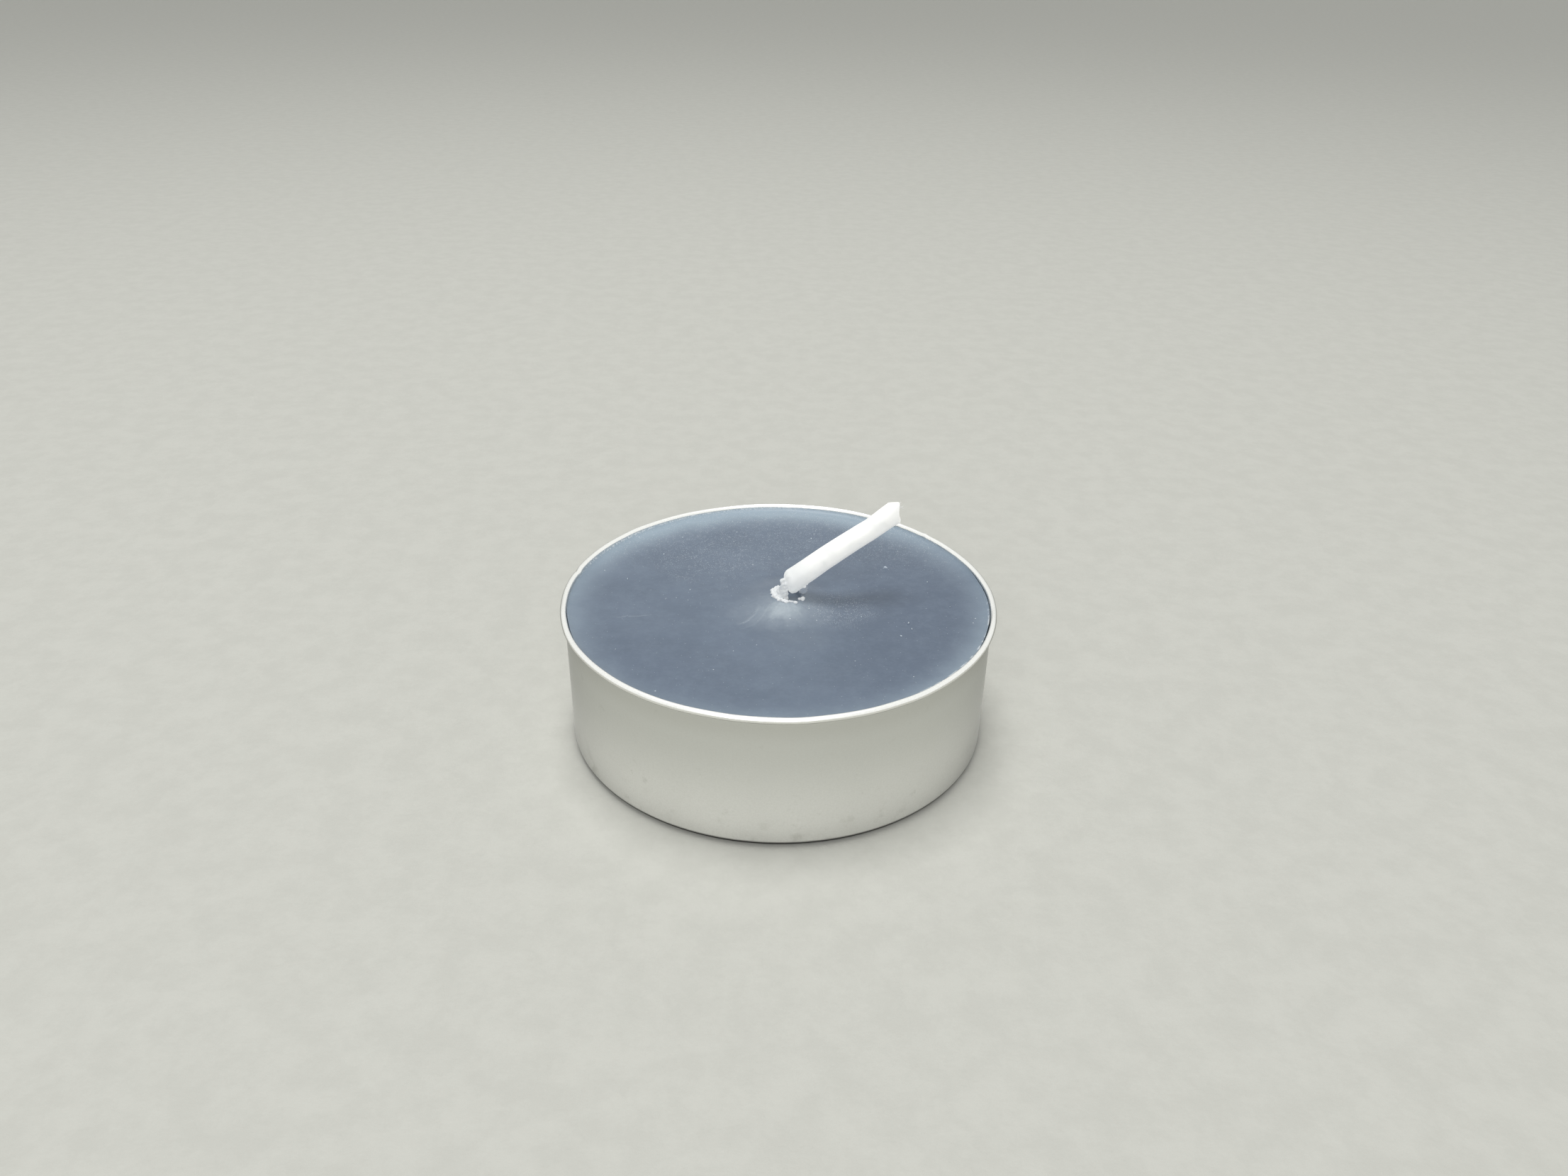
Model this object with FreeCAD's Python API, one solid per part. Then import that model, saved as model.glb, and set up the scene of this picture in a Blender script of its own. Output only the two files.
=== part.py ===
import FreeCAD, Part
import math
import os

# Tea light candle: a drawn aluminium cup with a rolled rim, filled with poured wax.
# A pressed steel clip on the cup's floor holds the wick. The wick was pushed over to one side:
# its wax coat broke where it left the surface, and a ring of white crumbs stands round the hole.
#
# Frame: +Z up, origin on the cup's axis in the plane that it stands on. The wick leans towards +X.
# All sizes are in millimetres and all angles in degrees.

# Cup: a sheet drawn into a round cup
rim_diameter = 38.0          # over the rolled bead
cup_height = 12.6            # standing plane to the top of the bead
sheet = 0.15                 # thickness of the aluminium
bead_diameter = 0.54         # outside size of the rolled edge
bead_turn = 260.0            # how far round the edge is rolled
bead_overhang = 0.4          # bead's outside past the straight wall's outside
flare_height = 2.0           # the wall leans out to the bead over this height below its centre
corner_radius = 0.6          # outside radius between wall and base
standing_ring_width = 1.5    # flat ring that the cup stands on
panel_lift = 0.7             # floor panel above the standing ring
panel_step_run = 0.5         # radial length of the sloped step up to the panel
well_depth = 0.4             # clip's well below the panel
well_step_run = 0.35
facet_bulge = 0.035          # a bend is made of straight runs that leave its curve by at most this

# Wick clip: a pressed steel disc with a crimped neck
clip_diameter = 12.5
clip_sheet = 0.2
clip_clearance = 0.3         # beside the disc where it lies nearest to the edge of its well
neck_height = 3.2            # above the disc
neck_flare = 0.5             # mid-sheet radius between disc and neck
crimp_height = 1.0           # length of the squeezed end of the neck
crimp_slope = 0.5            # length of its sloped start
crimp_squeeze = 0.15         # the crimp bites this far into the wick

# Wax fill
fill_gap = 0.62              # wax edge below the top of the bead
meniscus_height = 0.2        # the wax climbs this far up the wall
meniscus_width = 0.7
dish_depth = 0.25            # the middle has sunk this far below the edge
dish_radius = 9.0            # flat bottom of the sunken part
mound_height = 0.5           # low dome that the wax forms round the wick
mound_top_radius = 1.7
mound_foot_radius = 4.6
mound_runs = 3               # straight runs in the slope from its top to its foot
mouth_radius = 1.25          # of the hole that the broken coat left
mouth_shift = 0.55           # the mouth lies past the wick's axis, on its open side
pit_depth = 0.55

# Wick: braided cotton in a white wax coat
wick_offset = 0.4            # the clip has slid this far from the cup's axis
offset_azimuth = 32.0        # turned from +X towards +Y
wick_diameter = 2.0          # over the coat, where it is buried
core_diameter = 1.2          # bare braid at the break
break_rise = 0.96            # straight bare stretch above the broken coat
bend_radius = 1.0            # middle of the bent braid
lean_elevation = 33.3        # of the leaning stretch above the horizontal
lean_azimuth = 12.0          # its direction, turned from +X towards +Y
lean_foot_diameter = 2.1
lean_tip_diameter = 1.86
lean_foot_round = 0.55       # rounded broken end of the leaning coat
shaft_length = 8.8           # leaning coat from its foot to the pinch
tip_reach = 11.6             # along the lean to the middle of the cut
tip_overrun = 1.3            # the pinched stretch is made longer, then cut
pinch_depth = 0.8            # half thickness where the tip ends, across the lean
pinch_height = 1.12          # half height there
pinch_shift = 0.16           # the pinched end stands this much higher than the shaft
tip_bevel = 0.83             # flat nipped off the top of the tip

# Crumbs: lumps of the broken coat in a row round the mouth of the hole
crumb_length = 0.62          # round the mouth, so that each lump joins the next
crumb_width = 0.4            # of a middling lump
crumb_height = 0.42
crumb_spread = 0.3           # share by which the lumps differ
crumb_lift = 0.08            # a lump's centre stands this far above the mouth
crumb_tip = 14.0             # most that a lump is tipped
crumb_wave = 2.4             # radians from lump to lump in the wave that sets their sizes
crumb_phase = -3.97          # puts the smallest lump second
crumb_reach = 0.17           # middle of the row outside the mouth
crumb_pitch = 20.0           # turn from one lump to the next round the hole
crumb_start = -25.0          # first lump, turned from +X
crumb_count = 11
stack_count = 4              # lumps up the outer side of the bent braid
stack_pitch = 0.36           # from one of them to the next

rim_radius = rim_diameter / 2
half_sheet = sheet / 2
wall_radius = rim_radius - bead_overhang
wall_mid = wall_radius - half_sheet
curl_mid = bead_diameter / 2 - half_sheet
curl_centre = (rim_radius - bead_diameter / 2, cup_height - bead_diameter / 2)
floor_well_z = panel_lift - well_depth + sheet
clip_radius = clip_diameter / 2
well_radius = clip_radius + wick_offset + clip_clearance
wick_radius = wick_diameter / 2
core_radius = core_diameter / 2
fill_z = cup_height - fill_gap
dish_z = fill_z - dish_depth
mound_z = dish_z + mound_height
break_z = mound_z - pit_depth
up = FreeCAD.Vector(0, 0, 1)
offset_way = FreeCAD.Rotation(up, offset_azimuth).multVec(FreeCAD.Vector(1, 0, 0))
lean_way = FreeCAD.Rotation(up, lean_azimuth).multVec(FreeCAD.Vector(1, 0, 0))
wick_axis = offset_way * wick_offset
mouth_axis = offset_way * (wick_offset + mouth_shift)
bend_centre = wick_axis + lean_way * bend_radius + up * (break_z + break_rise)


def point(at):
    """A profile's (radius, height) as a point in the XZ plane."""
    return FreeCAD.Vector(at[0], 0, at[1])


def step(start, angle, length):
    """The (radius, height) reached from start along an angle in radians."""
    return start[0] + length * math.cos(angle), start[1] + length * math.sin(angle)


def heading(a, b):
    """Direction from a to b, in radians."""
    return math.atan2(b[1] - a[1], b[0] - a[0])


def arc_points(centre, radius, start, turn):
    """Points round an arc, as few as keep the straight runs between them near its curve."""
    widest = 2 * math.acos(1 - facet_bulge / radius)
    count = math.ceil(abs(turn) / widest)
    return [step(centre, start + turn * part / count, radius) for part in range(count + 1)]


def rounded_corner(before, corner, after, radius):
    """Points of the arc that rounds a corner between two straight runs."""
    way_in = heading(before, corner)
    turn = math.remainder(heading(corner, after) - way_in, 2 * math.pi)
    start = step(corner, way_in, -radius * math.tan(abs(turn) / 2))
    side = math.copysign(math.pi / 2, turn)
    return arc_points(step(start, way_in + side, radius), radius, way_in - side, turn)


def offset_path(path, distance):
    """The same path moved to its left by a distance, with mitred corners."""
    ways = [heading(a, b) for a, b in zip(path, path[1:])]
    moved = []
    for at, way_in, way_out in zip(path, ways[:1] + ways, ways + ways[-1:]):
        turn = math.remainder(way_out - way_in, 2 * math.pi)
        moved.append(step(at, way_in + (turn + math.pi) / 2, distance / math.cos(turn / 2)))
    return moved


def path_up_to(path, height):
    """The path as far as the place where it first reaches a height."""
    for place, (a, b) in enumerate(zip(path, path[1:])):
        if b[1] >= height:
            share = (height - a[1]) / (b[1] - a[1])
            return path[:place + 1] + [(a[0] + share * (b[0] - a[0]), height)]
    return path


def turned(outline, axis_at=FreeCAD.Vector(0, 0, 0)):
    """A closed (radius, height) outline turned once round the vertical, then moved."""
    wire = Part.makePolygon([point(at) for at in outline + outline[:1]])
    solid = Part.Face(wire).revolve(FreeCAD.Vector(0, 0, 0), up, 360)
    solid.translate(axis_at)
    return solid


def sheet_outline(path, thickness):
    """The section of a bent sheet whose middle follows a path."""
    return offset_path(path, thickness / 2) + offset_path(path, -thickness / 2)[::-1]


def cup_path():
    """Middle of the cup's sheet, from the centre of the floor to the end of the rolled bead."""
    well_mid = panel_lift - well_depth + half_sheet
    panel_mid = panel_lift + half_sheet
    ring_inner = (wall_mid - corner_radius - standing_ring_width, half_sheet)
    base_corner = (wall_mid, half_sheet)
    wall_end = (wall_mid, curl_centre[1] - flare_height)
    flare = heading(wall_end, curl_centre) + math.asin(curl_mid / math.dist(wall_end, curl_centre))
    return [
        (0, well_mid),
        (well_radius, well_mid),
        (well_radius + well_step_run, panel_mid),
        (ring_inner[0] - panel_step_run, panel_mid),
        ring_inner,
        *rounded_corner(ring_inner, base_corner, wall_end, corner_radius - half_sheet),
        wall_end,
        *arc_points(curl_centre, curl_mid, flare + math.pi / 2, -math.radians(bead_turn)),
    ]


def make_cup():
    """Drawn cup: clip well, floor panel, standing ring, straight wall, flare and rolled bead."""
    return turned(sheet_outline(cup_path(), sheet))


def make_clip():
    """Pressed disc whose middle is drawn up into a neck, crimped at its top."""
    neck_mid = wick_radius + clip_sheet / 2
    low = floor_well_z + clip_sheet / 2
    top = low + neck_height
    foot = (neck_mid, low)
    crimp_start = (neck_mid, top - crimp_height)
    path = [
        (clip_radius, low),
        *rounded_corner((clip_radius, low), foot, crimp_start, neck_flare),
        crimp_start,
        (neck_mid - crimp_squeeze, top - crimp_height + crimp_slope),
        (neck_mid - crimp_squeeze, top),
    ]
    return turned(sheet_outline(path, clip_sheet), wick_axis)


def lean_placement(along):
    """Placement of a section at a distance up the leaning stretch: local Z runs up the lean."""
    tilt = FreeCAD.Rotation(FreeCAD.Vector(0, 1, 0), 90 - lean_elevation)
    rotation = FreeCAD.Rotation(up, lean_azimuth).multiply(tilt)
    foot = round_bend(bend_radius, 90 - lean_elevation)
    return FreeCAD.Placement(foot + rotation.multVec(up) * along, rotation)


def round_bend(radius, angle):
    """A point of the bend in the braid, at a radius from its centre and an angle along it."""
    turned_by = math.radians(angle)
    return bend_centre - lean_way * (radius * math.cos(turned_by)) + up * (radius * math.sin(turned_by))


def make_bend():
    """Bare braid: straight out of the broken coat, then bent over towards the lean."""
    base = wick_axis + up * break_z
    straight = Part.makeCylinder(core_radius, break_rise, base, up)
    disc = Part.Face(Part.Wire(Part.makeCircle(core_radius, base + up * break_rise, up)))
    bend = disc.revolve(bend_centre, up.cross(lean_way), 90 - lean_elevation)
    return straight.fuse(bend)


def make_leaning_coat():
    """Leaning coat: a rounded broken foot, a slight taper and a pinched tip, cut off upright."""
    foot_radius = lean_foot_diameter / 2
    tip_radius = lean_tip_diameter / 2
    shaft_end = (tip_radius, shaft_length)
    foot = rounded_corner((0, 0), (foot_radius, 0), shaft_end, lean_foot_round)
    shaft = turned([(0, 0), *foot, shaft_end, (0, shaft_length)])
    shaft.Placement = lean_placement(0)

    end = tip_reach + tip_overrun - shaft_length
    circle = Part.Circle(FreeCAD.Vector(0, 0, 0), up, tip_radius)
    oval = Part.Ellipse(FreeCAD.Vector(-pinch_shift, 0, end), pinch_height, pinch_depth)
    pinched = Part.makeLoft([Part.Wire(circle.toShape()), Part.Wire(oval.toShape())], True, True)
    pinched.Placement = lean_placement(shaft_length)

    tip = lean_placement(tip_reach).Base
    block = 4 * lean_foot_diameter
    past_cut = Part.makeBox(block, block, block, FreeCAD.Vector(0, -block / 2, -block / 2))
    past_cut.Placement = FreeCAD.Placement(tip, FreeCAD.Rotation(up, lean_azimuth))
    nip_z = tip.z + (pinch_height + pinch_shift) / math.cos(math.radians(lean_elevation)) - tip_bevel
    above = Part.makeBox(block, block, block, FreeCAD.Vector(-block / 2, -block / 2, 0))
    above.translate(FreeCAD.Vector(tip.x, tip.y, nip_z))
    return shaft.fuse(pinched).cut(past_cut).cut(above)


def one_solid(shape):
    """The largest solid of a shape, with faces on one surface joined."""
    return max(shape.Solids, key=lambda solid: solid.Volume).removeSplitter()


def make_wick(clip):
    """The whole wick, from the cup's floor through the clip to the cut tip."""
    buried = Part.makeCylinder(wick_radius, break_z - floor_well_z, wick_axis + up * floor_well_z, up)
    wick = buried.multiFuse([make_bend(), make_leaning_coat()])
    return one_solid(wick.cut(clip))


def make_fill():
    """Wax up to its top surface: the cup's inside, a meniscus at the wall and a sunken middle."""
    wetted = path_up_to(offset_path(cup_path(), half_sheet), fill_z + meniscus_height)
    meniscus_foot = (wetted[-1][0] - meniscus_width, fill_z)
    return turned(wetted + [meniscus_foot, (dish_radius, dish_z), (0, dish_z)])


def make_mound():
    """Low dome round the wick, on the flat middle of the fill."""
    outline = [(0, dish_z), (0, mound_z)]
    for run in range(mound_runs + 1):
        radius = mound_top_radius + (mound_foot_radius - mound_top_radius) * run / mound_runs
        rise = mound_height * (1 + math.cos(math.pi * run / mound_runs)) / 2
        outline.append((radius, dish_z + rise))
    return turned(outline, wick_axis)


def make_wax(clip, wick):
    """Poured wax, cast round the clip and the wick, with the hole that the broken coat left.

    The hollow in the foot of the clip's neck holds air.
    """
    rims = [
        Part.makeCircle(wick_radius, wick_axis + up * break_z, up),
        Part.makeCircle(mouth_radius, mouth_axis + up * mound_z, up),
    ]
    pit = Part.makeLoft([Part.Wire(rim) for rim in rims], True, True)
    wax = make_fill().fuse(make_mound())
    return one_solid(wax.cut(pit).cut(clip).cut(wick))


def make_lump(number, at, rotation):
    """An angular lump about a place, sized and tipped by its number in the row."""
    share = 1 + crumb_spread * math.sin(crumb_wave * number + crumb_phase)
    size = FreeCAD.Vector(crumb_width * share, crumb_length, crumb_height * share)
    block = Part.makeBox(size.x, size.y, size.z, size * -0.5)
    tip = FreeCAD.Rotation(up.cross(offset_way), crumb_tip * math.sin(crumb_wave * number))
    block.Placement = FreeCAD.Placement(at, rotation.multiply(tip))
    return block


def beside_braid(along):
    """A place on the outer side of the bare braid, at a distance up from the broken coat."""
    if along < break_rise:
        return wick_axis - lean_way * core_radius + up * (break_z + along)
    return round_bend(bend_radius + core_radius, math.degrees((along - break_rise) / bend_radius))


def make_crumbs(wax, wick):
    """White lumps of broken coat: most of a ring round the hole, and a stack up the bent braid."""
    lumps = []
    for number in range(crumb_count):
        spin = FreeCAD.Rotation(up, crumb_start - crumb_pitch * number)
        outwards = spin.multVec(FreeCAD.Vector(mouth_radius + crumb_reach, 0, 0))
        lumps.append(make_lump(number, mouth_axis + outwards + up * (mound_z + crumb_lift), spin))
    across = FreeCAD.Rotation(up, lean_azimuth)
    for number in range(1, stack_count + 1):
        lumps.append(make_lump(number, beside_braid(pit_depth + stack_pitch * number), across))
    return one_solid(lumps[0].multiFuse(lumps[1:]).cut(wax).cut(wick))


def main():
    """Builds each piece and writes it to its own file."""
    os.makedirs("parts", exist_ok=True)
    cup = make_cup()
    clip = make_clip()
    wick = make_wick(clip)
    wax = make_wax(clip, wick)
    crumbs = make_crumbs(wax, wick)
    pieces = {"cup": cup, "wick_clip": clip, "wick": wick, "wax": wax, "coat_crumbs": crumbs}
    for name, shape in pieces.items():
        shape.exportStep(f"parts/{name}.step")
        state = "valid" if shape.isValid() else "not valid"
        print(name, shape.ShapeType, state, f"volume {shape.Volume:.3f} mm3")


main()
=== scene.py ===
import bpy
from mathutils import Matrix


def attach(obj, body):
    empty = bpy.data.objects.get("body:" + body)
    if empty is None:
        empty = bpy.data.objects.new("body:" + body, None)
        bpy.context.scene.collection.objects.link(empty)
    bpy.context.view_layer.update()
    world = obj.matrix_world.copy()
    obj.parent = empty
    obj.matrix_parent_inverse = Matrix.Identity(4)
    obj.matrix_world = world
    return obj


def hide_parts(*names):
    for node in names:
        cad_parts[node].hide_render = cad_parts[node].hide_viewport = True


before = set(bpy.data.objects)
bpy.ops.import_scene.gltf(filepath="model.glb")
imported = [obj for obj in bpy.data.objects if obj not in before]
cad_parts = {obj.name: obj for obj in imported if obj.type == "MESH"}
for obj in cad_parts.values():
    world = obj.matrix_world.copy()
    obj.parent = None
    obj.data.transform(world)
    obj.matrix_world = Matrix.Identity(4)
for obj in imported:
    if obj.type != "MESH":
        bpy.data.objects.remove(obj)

"""Looks of a tea light candle: a drawn foil cup, its poured wax, and a wick that has been bent over.

Everything is in metres in the row frame. The classes keep their sizes in millimetres, as a maker
would write them, and MM turns them into metres where a mesh is made. Azimuths are in degrees, from
+X towards +Y.
"""

import logging
import math
from dataclasses import dataclass, field
from enum import Enum
from typing import Callable, Sequence

import bpy
from mathutils import Matrix, Vector, noise

MM = 0.001
WAX_IOR = 1.44
BODY = "root"
log = logging.getLogger("tea_light")


class Slot(Enum):
    """The record's material slots."""

    CUP_METAL = "cup_metal"
    WAX = "blue_grey_wax"
    COAT = "wick_coat"
    CRUMB = "crumb_wax"


def smooth(value: float, low: float, high: float) -> float:
    """Eases from 0 at low to 1 at high.

    Args:
        value: The number to ease.
        low: Where the result leaves 0.
        high: Where the result reaches 1.

    Returns:
        A share from 0 to 1.
    """
    share = min(1.0, max(0.0, (value - low) / (high - low)))
    return share * share * (3 - 2 * share)


def bump_at(value: float, middle: float, width: float) -> float:
    """A bell of height 1 at middle, which is nearly gone two widths away."""
    return math.exp(-(((value - middle) / width) ** 2))


def angle_between(a: float, b: float) -> float:
    """The signed turn in degrees from b to a, from -180 to 180."""
    return (a - b + 180) % 360 - 180


def grain(x: float, y: float, z: float = 0.0) -> float:
    """Smooth noise from about -1 to 1, the same at every run."""
    return noise.noise(Vector((x, y, z)))


def paint(red: int, green: int, blue: int) -> tuple[float, float, float, float]:
    """A colour as a screen shows it, turned into the linear one that a shader takes.

    Args:
        red: From 0 to 255.
        green: From 0 to 255.
        blue: From 0 to 255.

    Returns:
        The linear colour, with an alpha of 1.
    """
    linear = [
        part / 12.92 if part <= 0.04045 else ((part + 0.055) / 1.055) ** 2.4
        for part in (red / 255, green / 255, blue / 255)
    ]
    return linear[0], linear[1], linear[2], 1.0


@dataclass(frozen=True)
class Ring:
    """One ring of a lofted form.

    Attributes:
        radius: In millimetres.
        height: In millimetres.
        centre: Where the ring's middle lies, in millimetres.
    """

    radius: float
    height: float
    centre: tuple[float, float] = (0.0, 0.0)


class Bench:
    """The modelling steps that every piece is made with."""

    @staticmethod
    def clear() -> None:
        """Goes back to object mode with nothing selected."""
        if bpy.context.object and bpy.context.object.mode != "OBJECT":
            bpy.ops.object.mode_set(mode="OBJECT")
        bpy.ops.object.select_all(action="DESELECT")

    @staticmethod
    def take(*pieces: bpy.types.Object) -> None:
        """Selects just these pieces, with the first one active.

        Args:
            *pieces: The objects that the next operator works on.
        """
        Bench.clear()
        for piece in pieces:
            piece.select_set(True)
        bpy.context.view_layer.objects.active = pieces[0]

    @staticmethod
    def keep_place(piece: bpy.types.Object) -> None:
        """Moves a piece's place, turn and scale into its mesh.

        Args:
            piece: The object, which then sits at the origin.
        """
        Bench.take(piece)
        bpy.ops.object.transform_apply(location=True, rotation=True, scale=True)

    @staticmethod
    def pick(piece: bpy.types.Object, wanted: Callable[[Vector], bool]) -> None:
        """Enters edit mode with just the wanted vertices selected.

        Args:
            piece: The active mesh object.
            wanted: Says of a vertex's place, in metres, whether it is selected.
        """
        bpy.ops.object.mode_set(mode="EDIT")
        bpy.ops.mesh.select_mode(type="VERT")
        bpy.ops.mesh.select_all(action="DESELECT")
        bpy.ops.object.mode_set(mode="OBJECT")
        for vertex in piece.data.vertices:
            vertex.select = wanted(vertex.co)
        bpy.ops.object.mode_set(mode="EDIT")

    @staticmethod
    def loft(name: str, rings: Sequence[Ring], segments: int, shut: bool) -> bpy.types.Object:
        """Starts with a filled circle and extrudes its rim from ring to ring.

        Args:
            name: The new piece's name.
            rings: The rings in order, where the first is filled.
            segments: Vertices round each ring.
            shut: Whether the last ring is drawn together into a pole.

        Returns:
            The piece, in object mode, with its faces pointing outwards.
        """
        first = rings[0]
        Bench.clear()
        place = (first.centre[0] * MM, first.centre[1] * MM, first.height * MM)
        bpy.ops.mesh.primitive_circle_add(
            vertices=segments, radius=first.radius * MM, fill_type="TRIFAN", location=place)
        piece = bpy.context.object
        piece.name = name
        Bench.keep_place(piece)
        middle = Vector(place)
        Bench.pick(piece, lambda at: (at - middle).length > first.radius * MM / 2)
        for before, after in zip(rings, rings[1:]):
            shift = (
                (after.centre[0] - before.centre[0]) * MM,
                (after.centre[1] - before.centre[1]) * MM,
                (after.height - before.height) * MM,
            )
            bpy.ops.mesh.extrude_region_move(TRANSFORM_OT_translate={"value": shift})
            share = after.radius / before.radius
            bpy.ops.transform.resize(
                value=(share, share, 1),
                center_override=(after.centre[0] * MM, after.centre[1] * MM, after.height * MM))
        if shut:
            bpy.ops.mesh.extrude_region_move(TRANSFORM_OT_translate={"value": (0, 0, 0)})
            bpy.ops.mesh.merge(type="CENTER")
        bpy.ops.mesh.select_all(action="SELECT")
        bpy.ops.mesh.normals_make_consistent(inside=False)
        bpy.ops.object.mode_set(mode="OBJECT")
        return piece

    @staticmethod
    def sculpt(piece: bpy.types.Object, move: Callable[[Vector], Vector]) -> None:
        """Moves each vertex of a piece.

        Args:
            piece: The mesh object.
            move: Gives a vertex's new place from its old one, both in millimetres.
        """
        for vertex in piece.data.vertices:
            vertex.co = move(vertex.co / MM) * MM
        piece.data.update()

    @staticmethod
    def finish(piece: bpy.types.Object, kind: str, **settings: object) -> None:
        """Adds a modifier and applies it.

        Args:
            piece: The object that it shapes.
            kind: The modifier's type.
            **settings: Its settings by name.
        """
        Bench.take(piece)
        modifier = piece.modifiers.new(kind.title(), kind)
        for setting, value in settings.items():
            setattr(modifier, setting, value)
        bpy.ops.object.modifier_apply(modifier=modifier.name)

    @staticmethod
    def soften(piece: bpy.types.Object, degrees: float = 40.0) -> None:
        """Shades a piece smooth, except along its sharp edges.

        Args:
            piece: The mesh object.
            degrees: The angle from which an edge is sharp.
        """
        Bench.take(piece)
        bpy.ops.object.shade_smooth_by_angle(angle=math.radians(degrees))

    @staticmethod
    def joined(name: str, parts: Sequence[bpy.types.Object]) -> bpy.types.Object:
        """Joins parts that are stuck together into one piece.

        Args:
            name: The joined piece's name.
            parts: Mesh objects, of which the first keeps its material.

        Returns:
            The joined piece.
        """
        Bench.take(*parts)
        bpy.ops.object.join()
        parts[0].name = name
        return parts[0]

    @staticmethod
    def fuse(piece: bpy.types.Object, cell: float, smoothing: int) -> None:
        """Melts overlapping lumps into one skin.

        The skin's cells are finer than the modifier takes, so the piece is remeshed at a larger scale.

        Args:
            piece: The joined lumps.
            cell: Size of the skin's cells, in millimetres.
            smoothing: How often the skin is smoothed.
        """
        larger = 100.0
        Bench.sculpt(piece, lambda place: place * larger)
        Bench.finish(piece, "REMESH", mode="VOXEL", voxel_size=cell * MM * larger, use_smooth_shade=True)
        Bench.finish(piece, "SMOOTH", factor=0.5, iterations=smoothing)
        Bench.sculpt(piece, lambda place: place / larger)

    @staticmethod
    def lump(at: Vector, size: Vector, seed: float, rough: float) -> bpy.types.Object:
        """An irregular lump, made from a ball of triangles.

        Args:
            at: Its middle, in millimetres.
            size: Its half sizes, in millimetres.
            seed: Picks one of many shapes, and its turn.
            rough: How far its skin leaves the ball, as a share of its size.

        Returns:
            The lump, with its place in its mesh.
        """
        Bench.clear()
        bpy.ops.mesh.primitive_ico_sphere_add(
            subdivisions=3, radius=MM, location=at * MM,
            rotation=(seed * 1.7, seed * 0.9, seed * 2.3), scale=size)
        piece = bpy.context.object
        Bench.keep_place(piece)

        def ragged(place: Vector) -> Vector:
            """Pushes a point of the skin in or out.

            Args:
                place: The point, in millimetres.

            Returns:
                The point moved, in millimetres.
            """
            way = (place - at) / size.length * 2.4
            swell = grain(way.x + seed * 7, way.y, way.z)
            swell += grain(way.x * 2.7, way.y * 2.7 + seed, way.z * 2.7) / 2
            return at + (place - at) * (1 + rough * swell)

        Bench.sculpt(piece, ragged)
        return piece


def arc(centre: tuple[float, float], radius: float, start: float, turn: float,
        steps: int) -> list[tuple[float, float]]:
    """Points round an arc of a section.

    Args:
        centre: (radius, height) of the arc's middle.
        radius: The arc's own radius.
        start: Angle of its first point, in degrees.
        turn: How far it goes, positive to the left, in degrees.
        steps: Runs between its points.

    Returns:
        Its points, from first to last.
    """
    angles = [math.radians(start + turn * part / steps) for part in range(steps + 1)]
    return [(centre[0] + radius * math.cos(at), centre[1] + radius * math.sin(at)) for at in angles]


class Signal:
    """A number that varies over a surface. Its operators add Math nodes."""

    def __init__(self, shader: "NodeBoard", socket: bpy.types.NodeSocket) -> None:
        """Keeps a socket and the board that it belongs to."""
        self.shader = shader
        self.socket = socket

    def math(self, operation: str, *values: "Signal | float") -> "Signal":
        """Adds a Math node.

        Args:
            operation: The node's operation.
            *values: What goes into its sockets, in order.

        Returns:
            The node's result.
        """
        return self.shader.node("ShaderNodeMath", {"operation": operation}, dict(enumerate(values)))

    def __add__(self, other: "Signal | float") -> "Signal":
        """Adds a value."""
        return self.math("ADD", self, other)

    __radd__ = __add__

    def __mul__(self, other: "Signal | float") -> "Signal":
        """Multiplies by a value."""
        return self.math("MULTIPLY", self, other)

    __rmul__ = __mul__

    def __sub__(self, other: "Signal | float") -> "Signal":
        """Takes a value away."""
        return self.math("SUBTRACT", self, other)

    def __rsub__(self, other: float) -> "Signal":
        """Takes this away from a number."""
        return self.math("SUBTRACT", other, self)

    def __truediv__(self, other: "Signal | float") -> "Signal":
        """Divides by a value."""
        return self.math("DIVIDE", self, other)

    def __pow__(self, other: float) -> "Signal":
        """Raises to a power."""
        return self.math("POWER", self, other)

    def most(self, other: "Signal | float") -> "Signal":
        """The larger of two values."""
        return self.math("MAXIMUM", self, other)

    def away(self) -> "Signal":
        """How far it is from 0."""
        return self.math("ABSOLUTE", self)

    def ease(self, low: float, high: float) -> "Signal":
        """Eases from 0 at low to 1 at high, or down where low is the larger.

        Args:
            low: Where the result is 0.
            high: Where the result is 1.

        Returns:
            A share from 0 to 1.
        """
        sockets = {"Value": self, "From Min": low, "From Max": high}
        return self.shader.node("ShaderNodeMapRange", {"interpolation_type": "SMOOTHSTEP"}, sockets)


class NodeBoard:
    """A tree of shader nodes."""

    def __init__(self, tree: bpy.types.NodeTree) -> None:
        """Keeps the tree that the nodes go into."""
        self.tree = tree

    def node(self, kind: str, settings: dict[str, object], inputs: dict[object, object],
             output: int | str = 0) -> Signal:
        """Adds a node.

        Args:
            kind: The node's type.
            settings: Its settings, set before its sockets.
            inputs: What goes into its sockets, by name or number: a Signal is linked.
            output: Which of its outputs is wanted.

        Returns:
            The wanted output.
        """
        made = self.tree.nodes.new(kind)
        for setting, value in settings.items():
            setattr(made, setting, value)
        for socket, value in inputs.items():
            if isinstance(value, Signal):
                self.tree.links.new(value.socket, made.inputs[socket])
            else:
                made.inputs[socket].default_value = value
        return Signal(self, made.outputs[output])


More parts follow.
